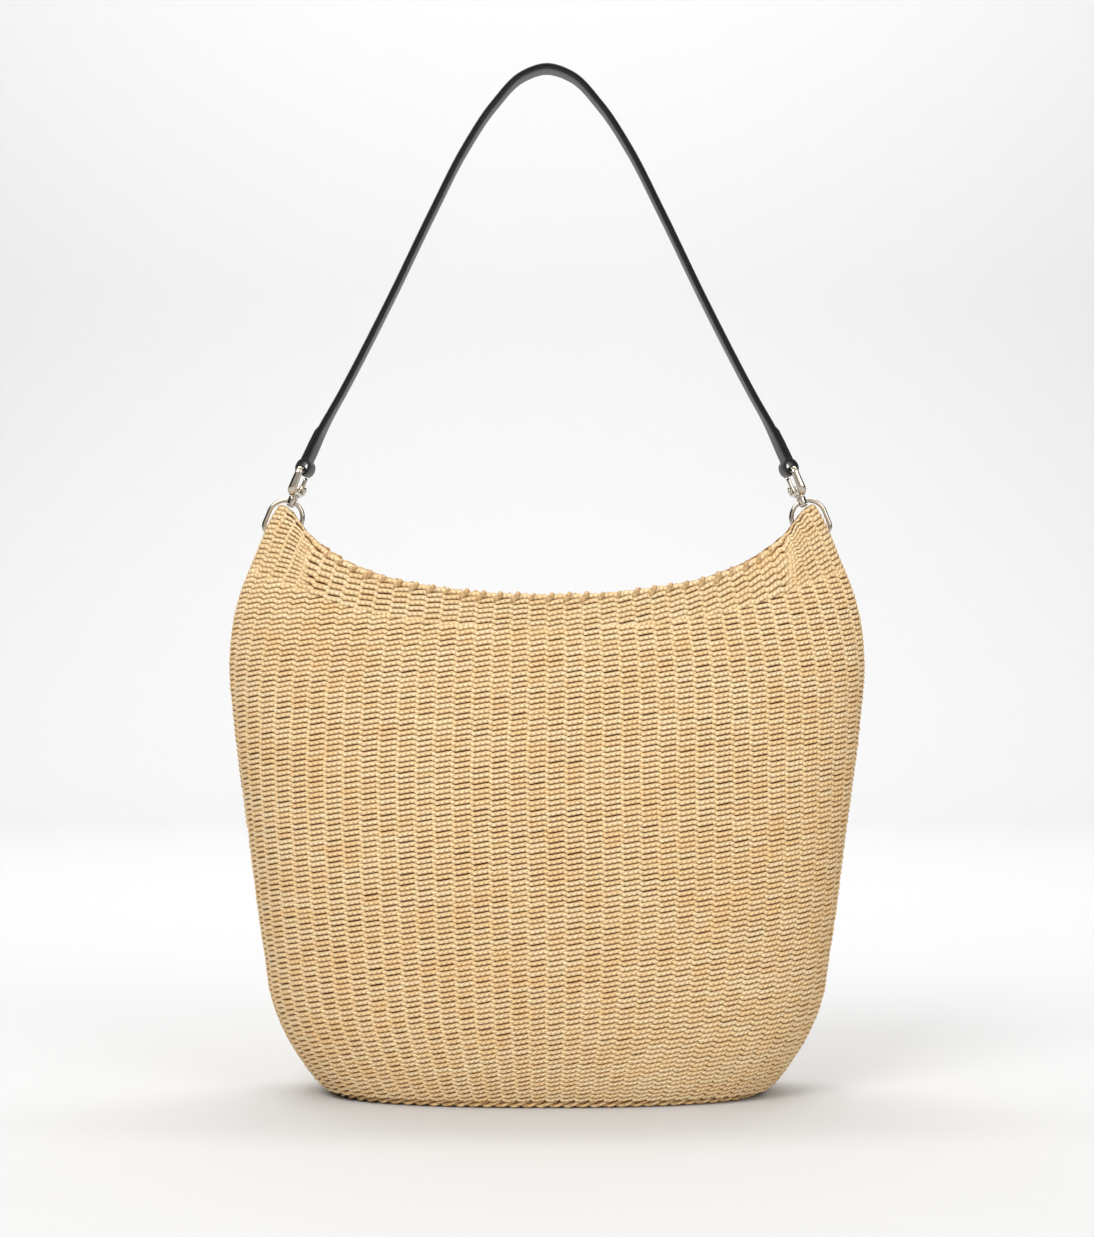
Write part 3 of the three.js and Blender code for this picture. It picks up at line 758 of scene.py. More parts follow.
def row_size(form, ways, z):
    """Thickness of a level row's cords. They fill the room between the rows where the side leans out."""
    above = np.stack(form.at(ways, np.full(len(ways), z + 1)))
    below = np.stack(form.at(ways, np.full(len(ways), z - 1)))
    lean = np.linalg.norm(above - below, axis=0) / 2
    return np.clip(0.545 * row_pitch(z) * np.sqrt(1 + lean**2), 1.35, 2.15)


def body_rows(form):
    """The level rows from the base up, whole below the band and in two parts beside it."""
    every = stitch_ways()
    rows = []
    for number, z in enumerate(row_heights()):
        size = row_size(form, every, z)
        x, _y = form.at(every, np.full(len(every), z))
        free = z < band_foot(np.abs(x)) + 0.35 * ROW_PITCH
        level = lambda x, z=z: np.full(np.shape(x), z)
        if free.all():
            rows.append((z, make_row(form, every, level, size, number, True)))
        elif free.any():
            for chosen, ways in both_ends(every, free):
                rows.append((z, make_row(form, ways, level, size[chosen], number, False)))
    return rows


def band_rows(form, rows, size=1.0):
    """Rows that follow the mouth's edge and fan out over the corners. Row 0 is the edge itself.
    Where they fan out, a short row is worked in between each pair."""
    every = stitch_ways()
    span = BAND_ROWS - 0.75
    made = []
    for i in rows:
        share = i / span
        height = lambda x, share=share: rim_height(x) * (1 - share) + band_foot(x) * share
        points = row_points(form, every, height)
        across = np.abs(points[:, 0])
        pitch = (rim_height(across) - band_foot(across)) / span
        pitch *= 1 - 0.5 * smoothstep(145, 157, across)
        run = np.hypot(*np.gradient(points, axis=0).T[:2])
        slope = np.abs(np.gradient(points[:, 2])) / np.maximum(run, 0.2)
        thickness = np.clip(pitch / np.sqrt(1 + slope**2) * 0.57, 1.25, 2.35) * size
        if i == int(i):
            made.append(make_row(form, every, height, thickness, 200 + i, True))
            continue
        for chosen, ways in both_ends(every, across > SHORT_ROWS_FROM):
            made.append(make_row(form, ways, height, thickness[chosen], 200 + i, False, 1.2))
    return made


def weave():
    form = Form(CORD_INSET)
    rows = body_rows(form)
    cuts = [("lower_weave", 0, 105), ("middle_weave", 105, 205), ("upper_weave", 205, 400)]
    for name, low, high in cuts:
        chosen = [row for z, row in rows if low <= z < high]
        piece = twined_piece(name, chosen, STRAW)
        finish_piece(piece, None, "bag", ["woven_body"] if name == "lower_weave" else ())
    fans = band_rows(form, np.arange(0.5, BAND_ROWS, 0.5))
    shaped = twined_piece("mouth_band_weave", fans, PALE_STRAW, Rise=0.0017)
    finish_piece(shaped, None, "bag", ["corner_left", "corner_right"])
    rim = band_rows(form, [0], 1.12)
    edge = twined_piece("mouth_edge_cord", rim, PALE_STRAW, Rise=0.001, Bulge=0.0005)
    finish_piece(edge, None, "bag", ["rim_cord_front", "rim_cord_back"])
    inner = band_rows(Form(CORD_INSET + 2.9), range(BAND_ROWS), 0.9)
    lining_side = twined_piece("band_inner_face", inner, STRAW, Sides=5, Seed=9)
    finish_piece(lining_side, None, "bag")


def stakes():
    """The layer of upright stakes that the rows are twined over, closed top and bottom."""
    columns = STITCHES * 4
    ways = np.arange(columns) / columns
    shares = np.linspace(0, 1, 70)

    def loop(form, share, wavy):
        def height(across):
            top = np.minimum(rim_height(across) - 1.5, TIP_TOP - 2)
            return STAKES["low"] + (top - STAKES["low"]) * share

        points = settled_points(form, ways, 300.0, height)
        out, _up = row_frame(form, ways, points)
        return points + out * (wavy * 0.4 * np.cos(2 * np.pi * ways * STITCHES))[:, None]

    outer, inner = Form(STAKES["outer"]), Form(STAKES["inner"])
    loops = [loop(outer, share, 1.0) for share in shares]
    loops += [loop(inner, share, 0.0) for share in shares[::-1]]
    verts = np.concatenate(loops) * MM
    faces = grid_faces(len(loops), columns, closed_rows=True)
    obj = outward(new_object("stakes", verts, faces))
    # The stakes take the deep brown of painted shade.
    finish_piece(obj, STAKE_SHADE, "bag")


weave()
stakes()


def plain_cord(name, lines, finish, radius):
    """Smooth closed cords along lines of millimetre points."""
    rows = []
    for number, points in enumerate(lines):
        along = np.roll(points, -1, 0) - np.roll(points, 1, 0)
        out = np.cross(along, (0, 0, 1.0))
        out /= np.maximum(np.linalg.norm(out, axis=1, keepdims=True), 1e-6)
        count = len(points)
        upwards = np.tile((0, 0, 1.0), (count, 1))
        rows.append((points, out, upwards, np.full(count, 0.5), np.full(count, radius), number, True))
    return twined_piece(name, rows, finish, Rise=0.0, Bulge=0.0, Unevenness=0.0)


def base():
    """The oval bottom: rings of twined rows, with a thick two-ply border laid round its edge."""
    coarse = np.arange(STITCHES * 3) / (STITCHES * 3)
    rings = []
    for number in range(BASE["rings"]):
        fine = number < BASE["fine_rings"]
        spots = stitch_ways() if fine else coarse
        count = len(spots)
        x, y = Form(BASE["inset"] + BASE["pitch"] * number).at(spots, np.zeros(count))
        points = np.stack([x, y, np.full(count, BASE["height"])], 1)
        inward = -np.cross(np.gradient(points, axis=0), (0, 0, 1.0))
        inward /= np.linalg.norm(inward, axis=1, keepdims=True)
        down = np.tile((0, 0, -1.0), (count, 1))
        phase = spots * (STITCHES if fine else STITCHES // 2)
        rings.append((points, down, inward, phase, np.full(count, BASE["size"]), number, True))
    floor = twined_piece("base_weave", rings, BASE_STRAW_LIGHTENED, Rise=0.001, Bulge=0.0004)
    finish_piece(floor, None, "bag", ["woven_base"])
    steps = BORDER["steps"]
    spots = np.arange(steps) / steps
    x, y = Form(BORDER["inset"]).at(spots, np.zeros(steps))
    middle = np.stack([x, y, np.full(steps, BORDER["height"])], 1)
    away = np.cross(np.roll(middle, -1, 0) - np.roll(middle, 1, 0), (0, 0, 1.0))
    away /= np.linalg.norm(away, axis=1, keepdims=True)
    plies = []
    for ply in (0, 0.5):
        turn = 2 * np.pi * (spots * BORDER["turns"] + ply)
        round_it = np.cos(turn)[:, None] * away + np.sin(turn)[:, None] * np.array((0, 0, 1.0))
        plies.append(middle + BORDER["reach"] * round_it)
    border = plain_cord("base_border", plies, BASE_STRAW_LIGHTENED, BORDER["radius"])
    finish_piece(border, None, "bag", ["base_edge_cord"])


def knot_tree():
    """Sets one small cord knot on every point of the mouth's edge, along the edge and square to it."""
    tree, n, inp, out = group_tree(
        "Edge knots", "GeometryNodeTree",
        [("Places", "Geometry", None), ("Reach", "Float", 0.0021), ("Lean", "Float", 0.0024),
         ("Thickness", "Float", 0.0012), ("Unevenness", "Float", 0.2), ("Seed", "Int", 2),
         ("Finish", "Material", None)],
        [("Mesh", "Geometry")])
    share = n.add("GeometryNodeSplineParameter").outputs["Factor"]
    turn = n.math("MULTIPLY", n.math("SUBTRACT", share, 0.5), 1.32 * math.pi)
    # Local X runs along the edge, Y outwards and Z up. The knot goes from the front, over, to the back.
    across = n.math("MULTIPLY", n.math("SUBTRACT", 0.5, share), n.math("MULTIPLY", inp["Lean"], 2.0))
    place = n.add("ShaderNodeCombineXYZ", {
        "X": across,
        "Y": n.math("MULTIPLY", n.math("SINE", turn), n.math("MULTIPLY", inp["Reach"], -1.0)),
        "Z": n.math("MULTIPLY", n.math("COSINE", turn), n.math("MULTIPLY", inp["Reach"], 1.25))}).outputs[0]
    bent = n.along(n.bent_line(10, place))
    # A fixed crown of 0.6 gives every knot an even share of the cord material's painted crease shade.
    knot = n.store(n.cord(bent, n.numbered_ring(6, inp["Thickness"])), "crown", 0.6)
    facing = n.facing(n.named("tangent", "FLOAT_VECTOR"), n.named("out", "FLOAT_VECTOR"),
                      primary_axis="X", secondary_axis="Y")
    smallest, largest = (n.math(way, 1.0, inp["Unevenness"]) for way in ("SUBTRACT", "ADD"))
    size = n.random(smallest, largest, inp["Seed"])
    n.finish(n.set_on(inp["Places"], knot, facing, Scale=size), inp["Finish"], out["Mesh"])
    return tree


def edge_knots():
    """A knot over the edge cord at each boundary between two columns."""
    form = Form(CORD_INSET)
    ways = np.arange(STITCHES) / STITCHES
    points = row_points(form, ways, rim_height)
    out, up = row_frame(form, ways, points)
    free = np.abs(points[:, 0]) < KNOTS_END
    points, out, up = points[free], out[free], up[free]
    tangent = np.cross(up, out)
    obj = new_object("mouth_edge_knots", (points + up * 0.2) * MM)
    add_attribute(obj, "out", out, "FLOAT_VECTOR")
    add_attribute(obj, "tangent", tangent, "FLOAT_VECTOR")
    run_tree(obj, knot_tree(), {"Reach": 0.0023, "Lean": 0.0034, "Thickness": 0.0015, "Seed": 2,
                                "Finish": PALE_STRAW})
    finish_piece(obj, None, "bag")


base()
edge_knots()

# ---------- Stitching ----------


def stitch_tree():
    """Sewn stitches along lines: each is a short raised thread that dips into the cloth at both ends."""
    tree, n, inp, out = group_tree(
        "Stitching", "GeometryNodeTree",
        [("Lines", "Geometry", None), ("Pitch", "Float", 0.004), ("Length", "Float", 0.0031),
         ("Thickness", "Float", 0.0003), ("Height", "Float", 0.0003), ("Finish", "Material", None)],
        [("Mesh", "Geometry")])
    path = n.add("GeometryNodeMeshToCurve", {"Mesh": inp["Lines"]}).outputs[0]
    spaced = {"Curve": path, "Length": inp["Pitch"]}
    spots = n.add("GeometryNodeResampleCurve", spaced, mode="LENGTH").outputs[0]
    facing = n.facing(n.add("GeometryNodeInputTangent").outputs[0], n.named("out", "FLOAT_VECTOR"),
                      primary_axis="X", secondary_axis="Z")
    share = n.add("GeometryNodeSplineParameter").outputs["Factor"]
    arch = n.math("SINE", n.math("MULTIPLY", share, math.pi))
    place = n.add("ShaderNodeCombineXYZ", {
        "X": n.math("MULTIPLY", n.math("SUBTRACT", share, 0.5), inp["Length"]),
        "Z": n.math("MULTIPLY", n.math("SUBTRACT", arch, 0.6), inp["Height"])}).outputs[0]
    stitch = n.cord(n.bent_line(5, place), n.ring(6, inp["Thickness"]))
    n.finish(n.set_on(spots, stitch, facing), inp["Finish"], out["Mesh"])
    return tree


STITCHING = stitch_tree()


def stitched_lines(name, lines, finish, **values):
    """Stitches along lines of (millimetre points, outward directions)."""
    verts, edges, outs = [], [], []
    for points, out in lines:
        start = len(verts)
        verts += [Vector(p) * MM for p in points]
        outs += [tuple(o) for o in out]
        edges += [(start + i, start + i + 1) for i in range(len(points) - 1)]
    obj = new_object(name, verts, edges=edges)
    add_attribute(obj, "out", outs, "FLOAT_VECTOR")
    return run_tree(obj, STITCHING, {"Finish": finish, **values})


# ---------- Lining and pocket ----------

LINING_INSET = 5.2
LINING_THICKNESS = 0.9
LINING_FLOOR = 5.3
LINING_BELOW_MOUTH = 13
LINING_TOP = 330
COTTON_STITCH = {"Pitch": 0.0032, "Length": 0.0025, "Thickness": 0.00022, "Height": 0.0002}
POCKET = {"width": 150, "height": 120, "bottom": 130, "thickness": 1.1, "gap": 0.3, "hem": 14}


def cloth_wrinkle(x, z, y):
    """How far loose cloth stands in from the wall, in long soft folds."""
    folds = np.sin(x * 0.051 + 1.3 + 0.6 * np.sin(z * 0.021))
    folds += 0.6 * np.sin(x * 0.113 - z * 0.017 + 0.4 * np.sign(y))
    return 0.55 + 0.35 * folds + 0.25 * np.sin(z * 0.06 + x * 0.02)


def lining():
    """A cotton bag inside the weave, with a folded and sewn hem under the mouth."""
    columns = 240
    ways = np.arange(columns) / columns
    shares = np.linspace(0, 1, 46)
    faces_in, faces_out = [], []
    for inset, layers in ((LINING_INSET, faces_out), (LINING_INSET + LINING_THICKNESS, faces_in)):
        form = Form(inset)
        for share in shares:
            def height(across, share=share):
                top = np.minimum(rim_height(across) - LINING_BELOW_MOUTH, LINING_TOP)
                return LINING_FLOOR + (top - LINING_FLOOR) * share

            points = settled_points(form, ways, 300.0, height)
            x, y, z = points.T
            out, _up = row_frame(form, ways, points)
            held = smoothstep(0, 0.1, share) * (1 - 0.8 * smoothstep(0.9, 0.96, share))
            loose = cloth_wrinkle(x, z, y) * held
            points = points - out * loose[:, None]
            layers.append((points, out))
    hem_low = 42
    for k in range(hem_low, len(shares)):
        points, out = faces_in[k]
        faces_in[k] = (points - out * 0.55, out)
    loops = [p for p, _ in faces_out] + [p for p, _ in faces_in[::-1]]
    # The floor is closed by smaller and smaller ovals.
    def floor(points, z):
        rings = []
        for scale in (0.8, 0.6, 0.4, 0.2, 0.02):
            ring = points * scale
            ring[:, 2] = z
            rings.append(ring)
        return rings

    upper = floor(faces_in[0][0], LINING_FLOOR + LINING_THICKNESS)
    lower = floor(faces_out[0][0], LINING_FLOOR)
    loops = lower[::-1] + loops + upper
    verts = np.concatenate(loops) * MM
    faces = grid_faces(len(loops), columns)
    last = (len(loops) - 1) * columns
    faces += [tuple(reversed(range(columns))), tuple(range(last, last + columns))]
    obj = outward(new_object("cotton_lining", verts, faces))
    finish_piece(obj, COTTON, "bag", ["lining"])
    points, out = faces_in[hem_low + 1]
    seam = [(list(points) + [points[0]], list(-out) + [-out[0]])]
    hem_thread = stitched_lines("lining_hem_stitches", seam, COTTON_THREAD, **COTTON_STITCH)
    finish_piece(hem_thread, None, "bag")


def back_wall(x, z, inset):
    """How far back the inside of the wall is at those places."""
    a = half_width(z) - inset
    b = half_depth(z) - inset
    return b * (1 - np.minimum(np.abs(x) / a, 0.999) ** ROUND) ** (1 / squareness(z))


def slip_pocket():
    """A flat pocket sewn on the lining's back wall, with a turned hem along its open top."""
    width, height, low, thick = (POCKET[key] for key in ("width", "height", "bottom", "thickness"))
    xs = np.linspace(-width / 2, width / 2, 41)
    zs = np.linspace(low, low + height, 33)
    grid_x, grid_z = np.meshgrid(xs, zs)
    wall = back_wall(grid_x, grid_z, LINING_INSET + LINING_THICKNESS + POCKET["gap"])
    across = np.abs(grid_x) / (width / 2)
    up = (grid_z - low) / height
    # The cloth is held at its three sewn edges and stands a little open at the top.
    slack = 1.3 + 1.6 * (1 - across**4) * up**2 + 0.25 * np.sin(grid_x * 0.09 + grid_z * 0.05)
    hem = np.where(grid_z > low + height - POCKET["hem"], 0.45, 0.0)
    back = wall - slack
    front = back - thick - hem
    layers = [np.stack([grid_x, side, grid_z], -1) for side in (back, front)]
    rows, cols = grid_x.shape
    verts = np.concatenate([layer.reshape(-1, 3) for layer in layers]) * MM
    faces = grid_faces(rows, cols, closed_cols=False)
    faces += [tuple(i + rows * cols for i in reversed(face)) for face in faces]
    rim = ([(0, j) for j in range(cols)] + [(i, cols - 1) for i in range(1, rows)]
           + [(rows - 1, j) for j in range(cols - 2, -1, -1)] + [(i, 0) for i in range(rows - 2, 0, -1)])
    index = [i * cols + j for i, j in rim]
    for k, a in enumerate(index):
        b = index[(k + 1) % len(index)]
        faces.append((a, b, b + rows * cols, a + rows * cols))
    obj = outward(new_object("cotton_slip_pocket", verts, faces))
    finish_piece(obj, COTTON, "bag", ["slip_pocket"])
    face = layers[1]
    inward = (0, -1, 0)
    edge = [face[i, 1] for i in range(rows - 1, 0, -1)] + [face[1, j] for j in range(1, cols - 1)]
    edge += [face[i, cols - 2] for i in range(1, rows)]
    top_row = int(np.argmax(zs > low + height - POCKET["hem"])) + 1
    hem_line = [face[top_row, j] for j in range(1, cols - 1)]
    lines = [(line, [inward] * len(line)) for line in (edge, hem_line)]
    thread = stitched_lines("pocket_stitches", lines, COTTON_THREAD, **COTTON_STITCH)
    finish_piece(thread, None, "bag")


lining()
slip_pocket()

# ---------- Rings, rivets and snap hooks ----------

RING = {"wire": 1.45, "half_width": 10.8, "height": 24, "corner": 5, "boss": 2.9}
RIVET = {"radius": 1.2, "head": 2.5, "low": -3.7, "under": -2.4, "top": 6.7}
BOW = {"half": 11.6, "low": 5.5, "top": 21.5, "corner": 3.4, "rod": 1.6}
FLANGE = {"radius": 3.6, "low": 3.3, "top": 4.5}
GATE = {"y": 11.6, "z": 8.9, "tip": 17.2, "half": 1.3, "foot": 1.75, "slot": 1.7, "ear": 2.5, "ears": 2.8,
        "pin": 0.6}
SPRING = {"start": 0.2, "turns": 2, "radius": 1.02, "wire": 0.15, "pitch": 0.55}


def frame_of(origin, x, y, z):
    """A matrix from local millimetres to the bag's frame, still in millimetres."""
    matrix = Matrix((x, y, z)).transposed().to_4x4()
    matrix.translation = Vector(origin) / MM
    return matrix


def hook_frame(name):
    swivel, press = JOINTS[f"hook_{name}_swivel"], JOINTS[f"gate_{name}_press"]
    z, x = Vector(swivel["axis"]), Vector(press["axis"])
    return frame_of(swivel["pos_m"], x, z.cross(x), z)


def ring_frame(name):
    swivel = JOINTS[f"hook_{name}_swivel"]
    y, z = Vector((0, 1, 0)), Vector(swivel["axis"])
    return frame_of(swivel["pos_m"], y.cross(z), y, z)


def arc(centre, radius, start, end, steps):
    """Points on an arc in a plane, as (across, up). Radius is one number or two."""
    across, up = radius if isinstance(radius, tuple) else (radius, radius)
    turns = np.linspace(start, end, steps)
    return [(centre[0] + across * math.cos(t), centre[1] + up * math.sin(t)) for t in turns]


def path_frames(points, side, closed=False):
    """Upward directions for a sweep along points, square to the path and to a fixed side direction."""
    points = [Vector(p) for p in points]
    ups = []
    for i in range(len(points)):
        before = points[i - 1] if i or closed else points[i]
        after = points[(i + 1) % len(points)] if i + 1 < len(points) or closed else points[i]
        ups.append((after - before).normalized().cross(Vector(side)).normalized())
    return points, [Vector(side)] * len(points), ups


def hardware_piece(name, parts, matrix, body, node, material=None):
    verts, faces = join_meshes(parts)
    obj = outward(new_object(name, in_place(verts, matrix), faces))
    sharp_edges(obj)
    finish_piece(obj, material or NICKEL, body, [node])


def sharp_edges(obj, degrees=40):
    """Keeps edges crisp that turn by more than an angle."""
    bm = bmesh.new()
    bm.from_mesh(obj.data)
    for edge in bm.edges:
        edge.smooth = len(edge.link_faces) == 2 and edge.calc_face_angle() < math.radians(degrees)
    bm.to_mesh(obj.data)
    bm.free()


def ring_piece(name):
    w, h, c = RING["half_width"], RING["height"], RING["corner"]
    line = arc((0, -11), (w, 11), 0, math.pi, 33)
    line += arc((-w + c, -h + c), c, math.pi, 1.5 * math.pi, 9)
    line += arc((w - c, -h + c), c, 1.5 * math.pi, 2 * math.pi, 9)
    points, sides, ups = path_frames([(x, 0, z) for x, z in line], (0, 1, 0), closed=True)
    wire = sweep_mesh(points, sides, ups, [oval(RING["wire"], RING["wire"], 18)] * len(points), closed=True)
    b = RING["boss"]
    boss = lathe_mesh([(1.9, -2.1), (b - 0.35, -2.1), (b - 0.08, -1.95), (b, -1.6), (b, 2.4),
                       (b - 0.08, 2.72), (b - 0.35, 2.9), (1.7, 2.9)])
    hardware_piece(f"swivel_ring_{name}", [wire, boss], ring_frame(name), f"ring_{name}", f"ring_{name}")


def rivet_piece(name):
    r, head, low, under, top = (RIVET[key] for key in ("radius", "head", "low", "under", "top"))
    profile = [(0.3, low), (head * 0.6, low + 0.08), (head * 0.88, low + 0.4), (head, low + 0.85),
               (head, under), (r, under), (r, top)]
    hardware_piece(f"turning_rivet_{name}", [lathe_mesh(profile)], hook_frame(name), f"hook_{name}",
                   f"swivel_rivet_{name}")


def bow_half_width(z):
    return float(np.interp(z, [3.9, 10.9, 19.9, 23.1], [2.75, 2.55, 2.2, 2.0]))


def hook_piece(name):
    half, low, top, c, r = (BOW[key] for key in ("half", "low", "top", "corner", "rod"))
    line = [(half, 6.6)] + arc((half - c, low + c), c, 0, -math.pi / 2, 8)
    line += arc((-half + c, low + c), c, -math.pi / 2, -math.pi, 8)
    line += [(-half, z) for z in np.linspace(low + c + 1, top - c - 1, 8)]
    line += arc((-half + c, top - c), c, math.pi, math.pi / 2, 8)
    line += arc((half - c, top - c), c, math.pi / 2, 0, 8)
    line += [(half, 17.9), (half, 17.65)]
    points, sides, ups = path_frames([(0, y, z) for y, z in line], (1, 0, 0))
    sections = [oval(bow_half_width(z), r, 20, 2.7) for _, z in line]
    sections[-1] = oval(bow_half_width(17.6) * 0.86, r * 0.86, 20, 2.7)
    bow = sweep_mesh(points, sides, ups, sections)
    f, under, over = (FLANGE[key] for key in ("radius", "low", "top"))
    flange = lathe_mesh([(0.6, under), (f - 0.3, under), (f, under + 0.3), (f, over - 0.4), (f - 0.4, over),
                         (2.6, over + 0.5), (0.6, 5.2)])
    ears = [ear_mesh(side) for side in (-1, 1)]
    hardware_piece(f"snap_hook_{name}", [bow, flange, *ears], hook_frame(name), f"hook_{name}",
                   f"hook_body_{name}")


def ear_mesh(side):
    """One of the two rounded plates that hold the gate's pin."""
    y, z, radius = GATE["y"], GATE["z"], GATE["ear"]
    outline = arc((y, z), radius, -0.35, math.pi + 0.35, 19) + [(y - 1.5, 5.6), (y + 1.2, 5.6)]
    middle = (y, z - 0.8)

    def level(x, shrink):
        return [(x * side, middle[0] + (a - middle[0]) * shrink, middle[1] + (b - middle[1]) * shrink)
                for a, b in outline]

    inner, outer = GATE["slot"], GATE["ears"]
    levels = [level(inner, 0.94), level(inner + 0.12, 1), level(outer - 0.3, 1), level(outer - 0.06, 0.93),
              level(outer, 0.82)]
    count = len(outline)
    faces = grid_faces(len(levels), count)
    last = (len(levels) - 1) * count
    faces += [tuple(reversed(range(count))), tuple(range(last, last + count))]
    return [Vector(v) for row in levels for v in row], faces


def gate_piece(name):
    y, z, tip, half, foot = (GATE[key] for key in ("y", "z", "tip", "half", "foot"))
    stack = [(z - foot, 0.35), (z - foot + 0.2, 0.62), (z - foot + 0.7, 0.9), (z - 0.6, 1.3), (z, 1.34),
             (z + 1.8, 1.0), (z + 3, 0.97), (tip - 3.2, 0.97), (tip - 1.4, 1.0), (tip - 0.5, 0.85),
             (tip - 0.12, 0.5), (tip, 0.2)]
    centres = [(0, y, height) for height, _ in stack]
    sections = [oval(half * min(scale, 1.0), half * scale, 20, 3.2) for _, scale in stack]
    sides, ups = [Vector((1, 0, 0))] * len(stack), [Vector((0, 1, 0))] * len(stack)
    gate = sweep_mesh(centres, sides, ups, sections)
    hardware_piece(f"spring_gate_{name}", [gate], hook_frame(name), f"gate_{name}", f"gate_{name}")


def pin_piece(name):
    r, reach = GATE["pin"], GATE["ears"]
    profile = [(r * 0.4, -reach - 0.28), (r * 1.2, -reach - 0.2), (r * 1.5, -reach), (r, -reach + 0.02),
               (r, reach - 0.02), (r * 1.5, reach), (r * 1.2, reach + 0.2), (r * 0.4, reach + 0.28)]
    verts, faces = lathe_mesh(profile, 16)
    verts = [Vector((v.z, GATE["y"] + v.x, GATE["z"] + v.y)) for v in verts]
    hardware_piece(f"gate_hinge_pin_{name}", [(verts, faces)], hook_frame(name), f"hook_{name}",
                   f"gate_pin_{name}", STEEL)


def spring_piece(name):
    turns, radius, wire, pitch, start = (SPRING[key] for key in ("turns", "radius", "wire", "pitch", "start"))
    points, sides, ups = [], [], []
    for t in np.linspace(0, turns, 33):
        c, s = math.cos(2 * math.pi * t), math.sin(2 * math.pi * t)
        points.append(Vector((start + pitch * t, GATE["y"] + radius * c, GATE["z"] + radius * s)))
        sides.append(Vector((1, 0, 0)))
        ups.append(Vector((0, c, s)))
    coil = sweep_mesh(points, sides, ups, [oval(wire, wire, 8)] * len(points))
    hardware_piece(f"gate_coil_{name}", [coil], hook_frame(name), f"hook_{name}",
                   f"gate_spring_{name}", STEEL)


for side_name, _side in SIDES:
    ring_piece(side_name)
    rivet_piece(side_name)
    hook_piece(side_name)
    gate_piece(side_name)
    pin_piece(side_name)
    spring_piece(side_name)

# ---------- The strap ----------

STRAP = {"width": 20, "loop_width": 17, "layer": 1.75, "wall": 1.3, "half": 4.4, "low": 18.8,
         "shoulder": 22.5, "neck": 26.1, "top": 29.0}
STRAP_EDGE_FACES = (0, 1, 2, 3, 13, 14, 15, 16)  # of a layer's section, counted round it
# The middle of the strap from one end to the top of its arch, as [distance from the middle, height].
STRAP_ARCH = [(149, 398.2), (141.3, 415), (127.3, 440.6), (98.3, 497.1), (71, 553.6), (51.7, 591.3),
              (32.9, 619.6), (15.2, 637.4), (0, 642.2)]


def arch_line(steps):
    """Points along one half of the arch, evenly by length, with their outward directions."""
    whole = np.array(STRAP_ARCH + [(-x, z) for x, z in STRAP_ARCH[-2::-1]], float)
    length = np.concatenate([[0], np.cumsum(np.hypot(*np.diff(whole, axis=0).T))])
    dense = np.linspace(0, length[-1] / 2, 600)
    across = curve_through(list(zip(length, whole[:, 0])))(dense)
    height = curve_through(list(zip(length, whole[:, 1])))(dense)
    run = np.concatenate([[0], np.cumsum(np.hypot(np.diff(across), np.diff(height)))])
    spots = np.linspace(0, run[-1], steps)
    x, z = np.interp(spots, run, across), np.interp(spots, run, height)
    x[-1] = 0.0
    dx, dz = np.gradient(x), np.gradient(z)
    dx[-1], dz[-1] = -1.0, 0.0
    scale = np.hypot(dx, dz)
    return spots, np.stack([x, z], 1), np.stack([dz / scale, -dx / scale], 1)


def strap_frames(name, side, steps=110):
    """Centres, width directions, outward directions and half widths along one half of the strap."""
    spots, line, out = arch_line(steps)
    hook = hook_frame(name).to_3x3()
    loop_side = (hook @ Vector((0, 1, 0))).normalized()
    centres, sides, ups, halves = [], [], [], []
    for s, (x, z), (ox, oz) in zip(spots, line, out):
        turned = 1 - float(smoothstep(2, 45, s))
        up = Vector((side * ox, 0, oz))
        width = Vector((0, 1, 0)).lerp(loop_side, turned)
        width = (width - up * width.dot(up) * (1 - turned)).normalized()
        along = up.cross(width).normalized()
        up = width.cross(along).normalized()
        if up.dot(Vector((side * ox, 0, oz))) < 0:
            up = -up
        centres.append(Vector((side * x, 0, z)))
        sides.append(width)
        ups.append(up)
        taper = float(smoothstep(4, 26, s))
        halves.append(STRAP["loop_width"] / 2 + (STRAP["width"] - STRAP["loop_width"]) / 2 * taper)
    return spots, centres, sides, ups, halves


def layer_section(half, low, high, crown):
    """A strip's section with rounded edges, as (side, up) points. The first and last few are its edges."""
    mid = (low + high) / 2
    edge = [(-half + 0.45, low), (-half + 0.12, low + (high - low) * 0.12), (-half, mid),
            (-half + 0.1, high - (high - low) * 0.16), (-half + 0.5, high - math.copysign(0.02, high - low))]
    # A pressed crease runs along the face, a little way in from each edge.
    top = [(-half + 1.6, high), (-half + 2.0, high - crown * 2.5), (-half + 2.4, high + crown * 0.5),
           (-half * 0.4, high + crown), (half * 0.4, high + crown),
           (half - 2.4, high + crown * 0.5), (half - 2.0, high - crown * 2.5), (half - 1.6, high)]
    back = [(-a, b) for a, b in reversed(edge)]
    bottom = [(half * 0.4, low), (-half * 0.4, low)]
    return edge + top + back + bottom


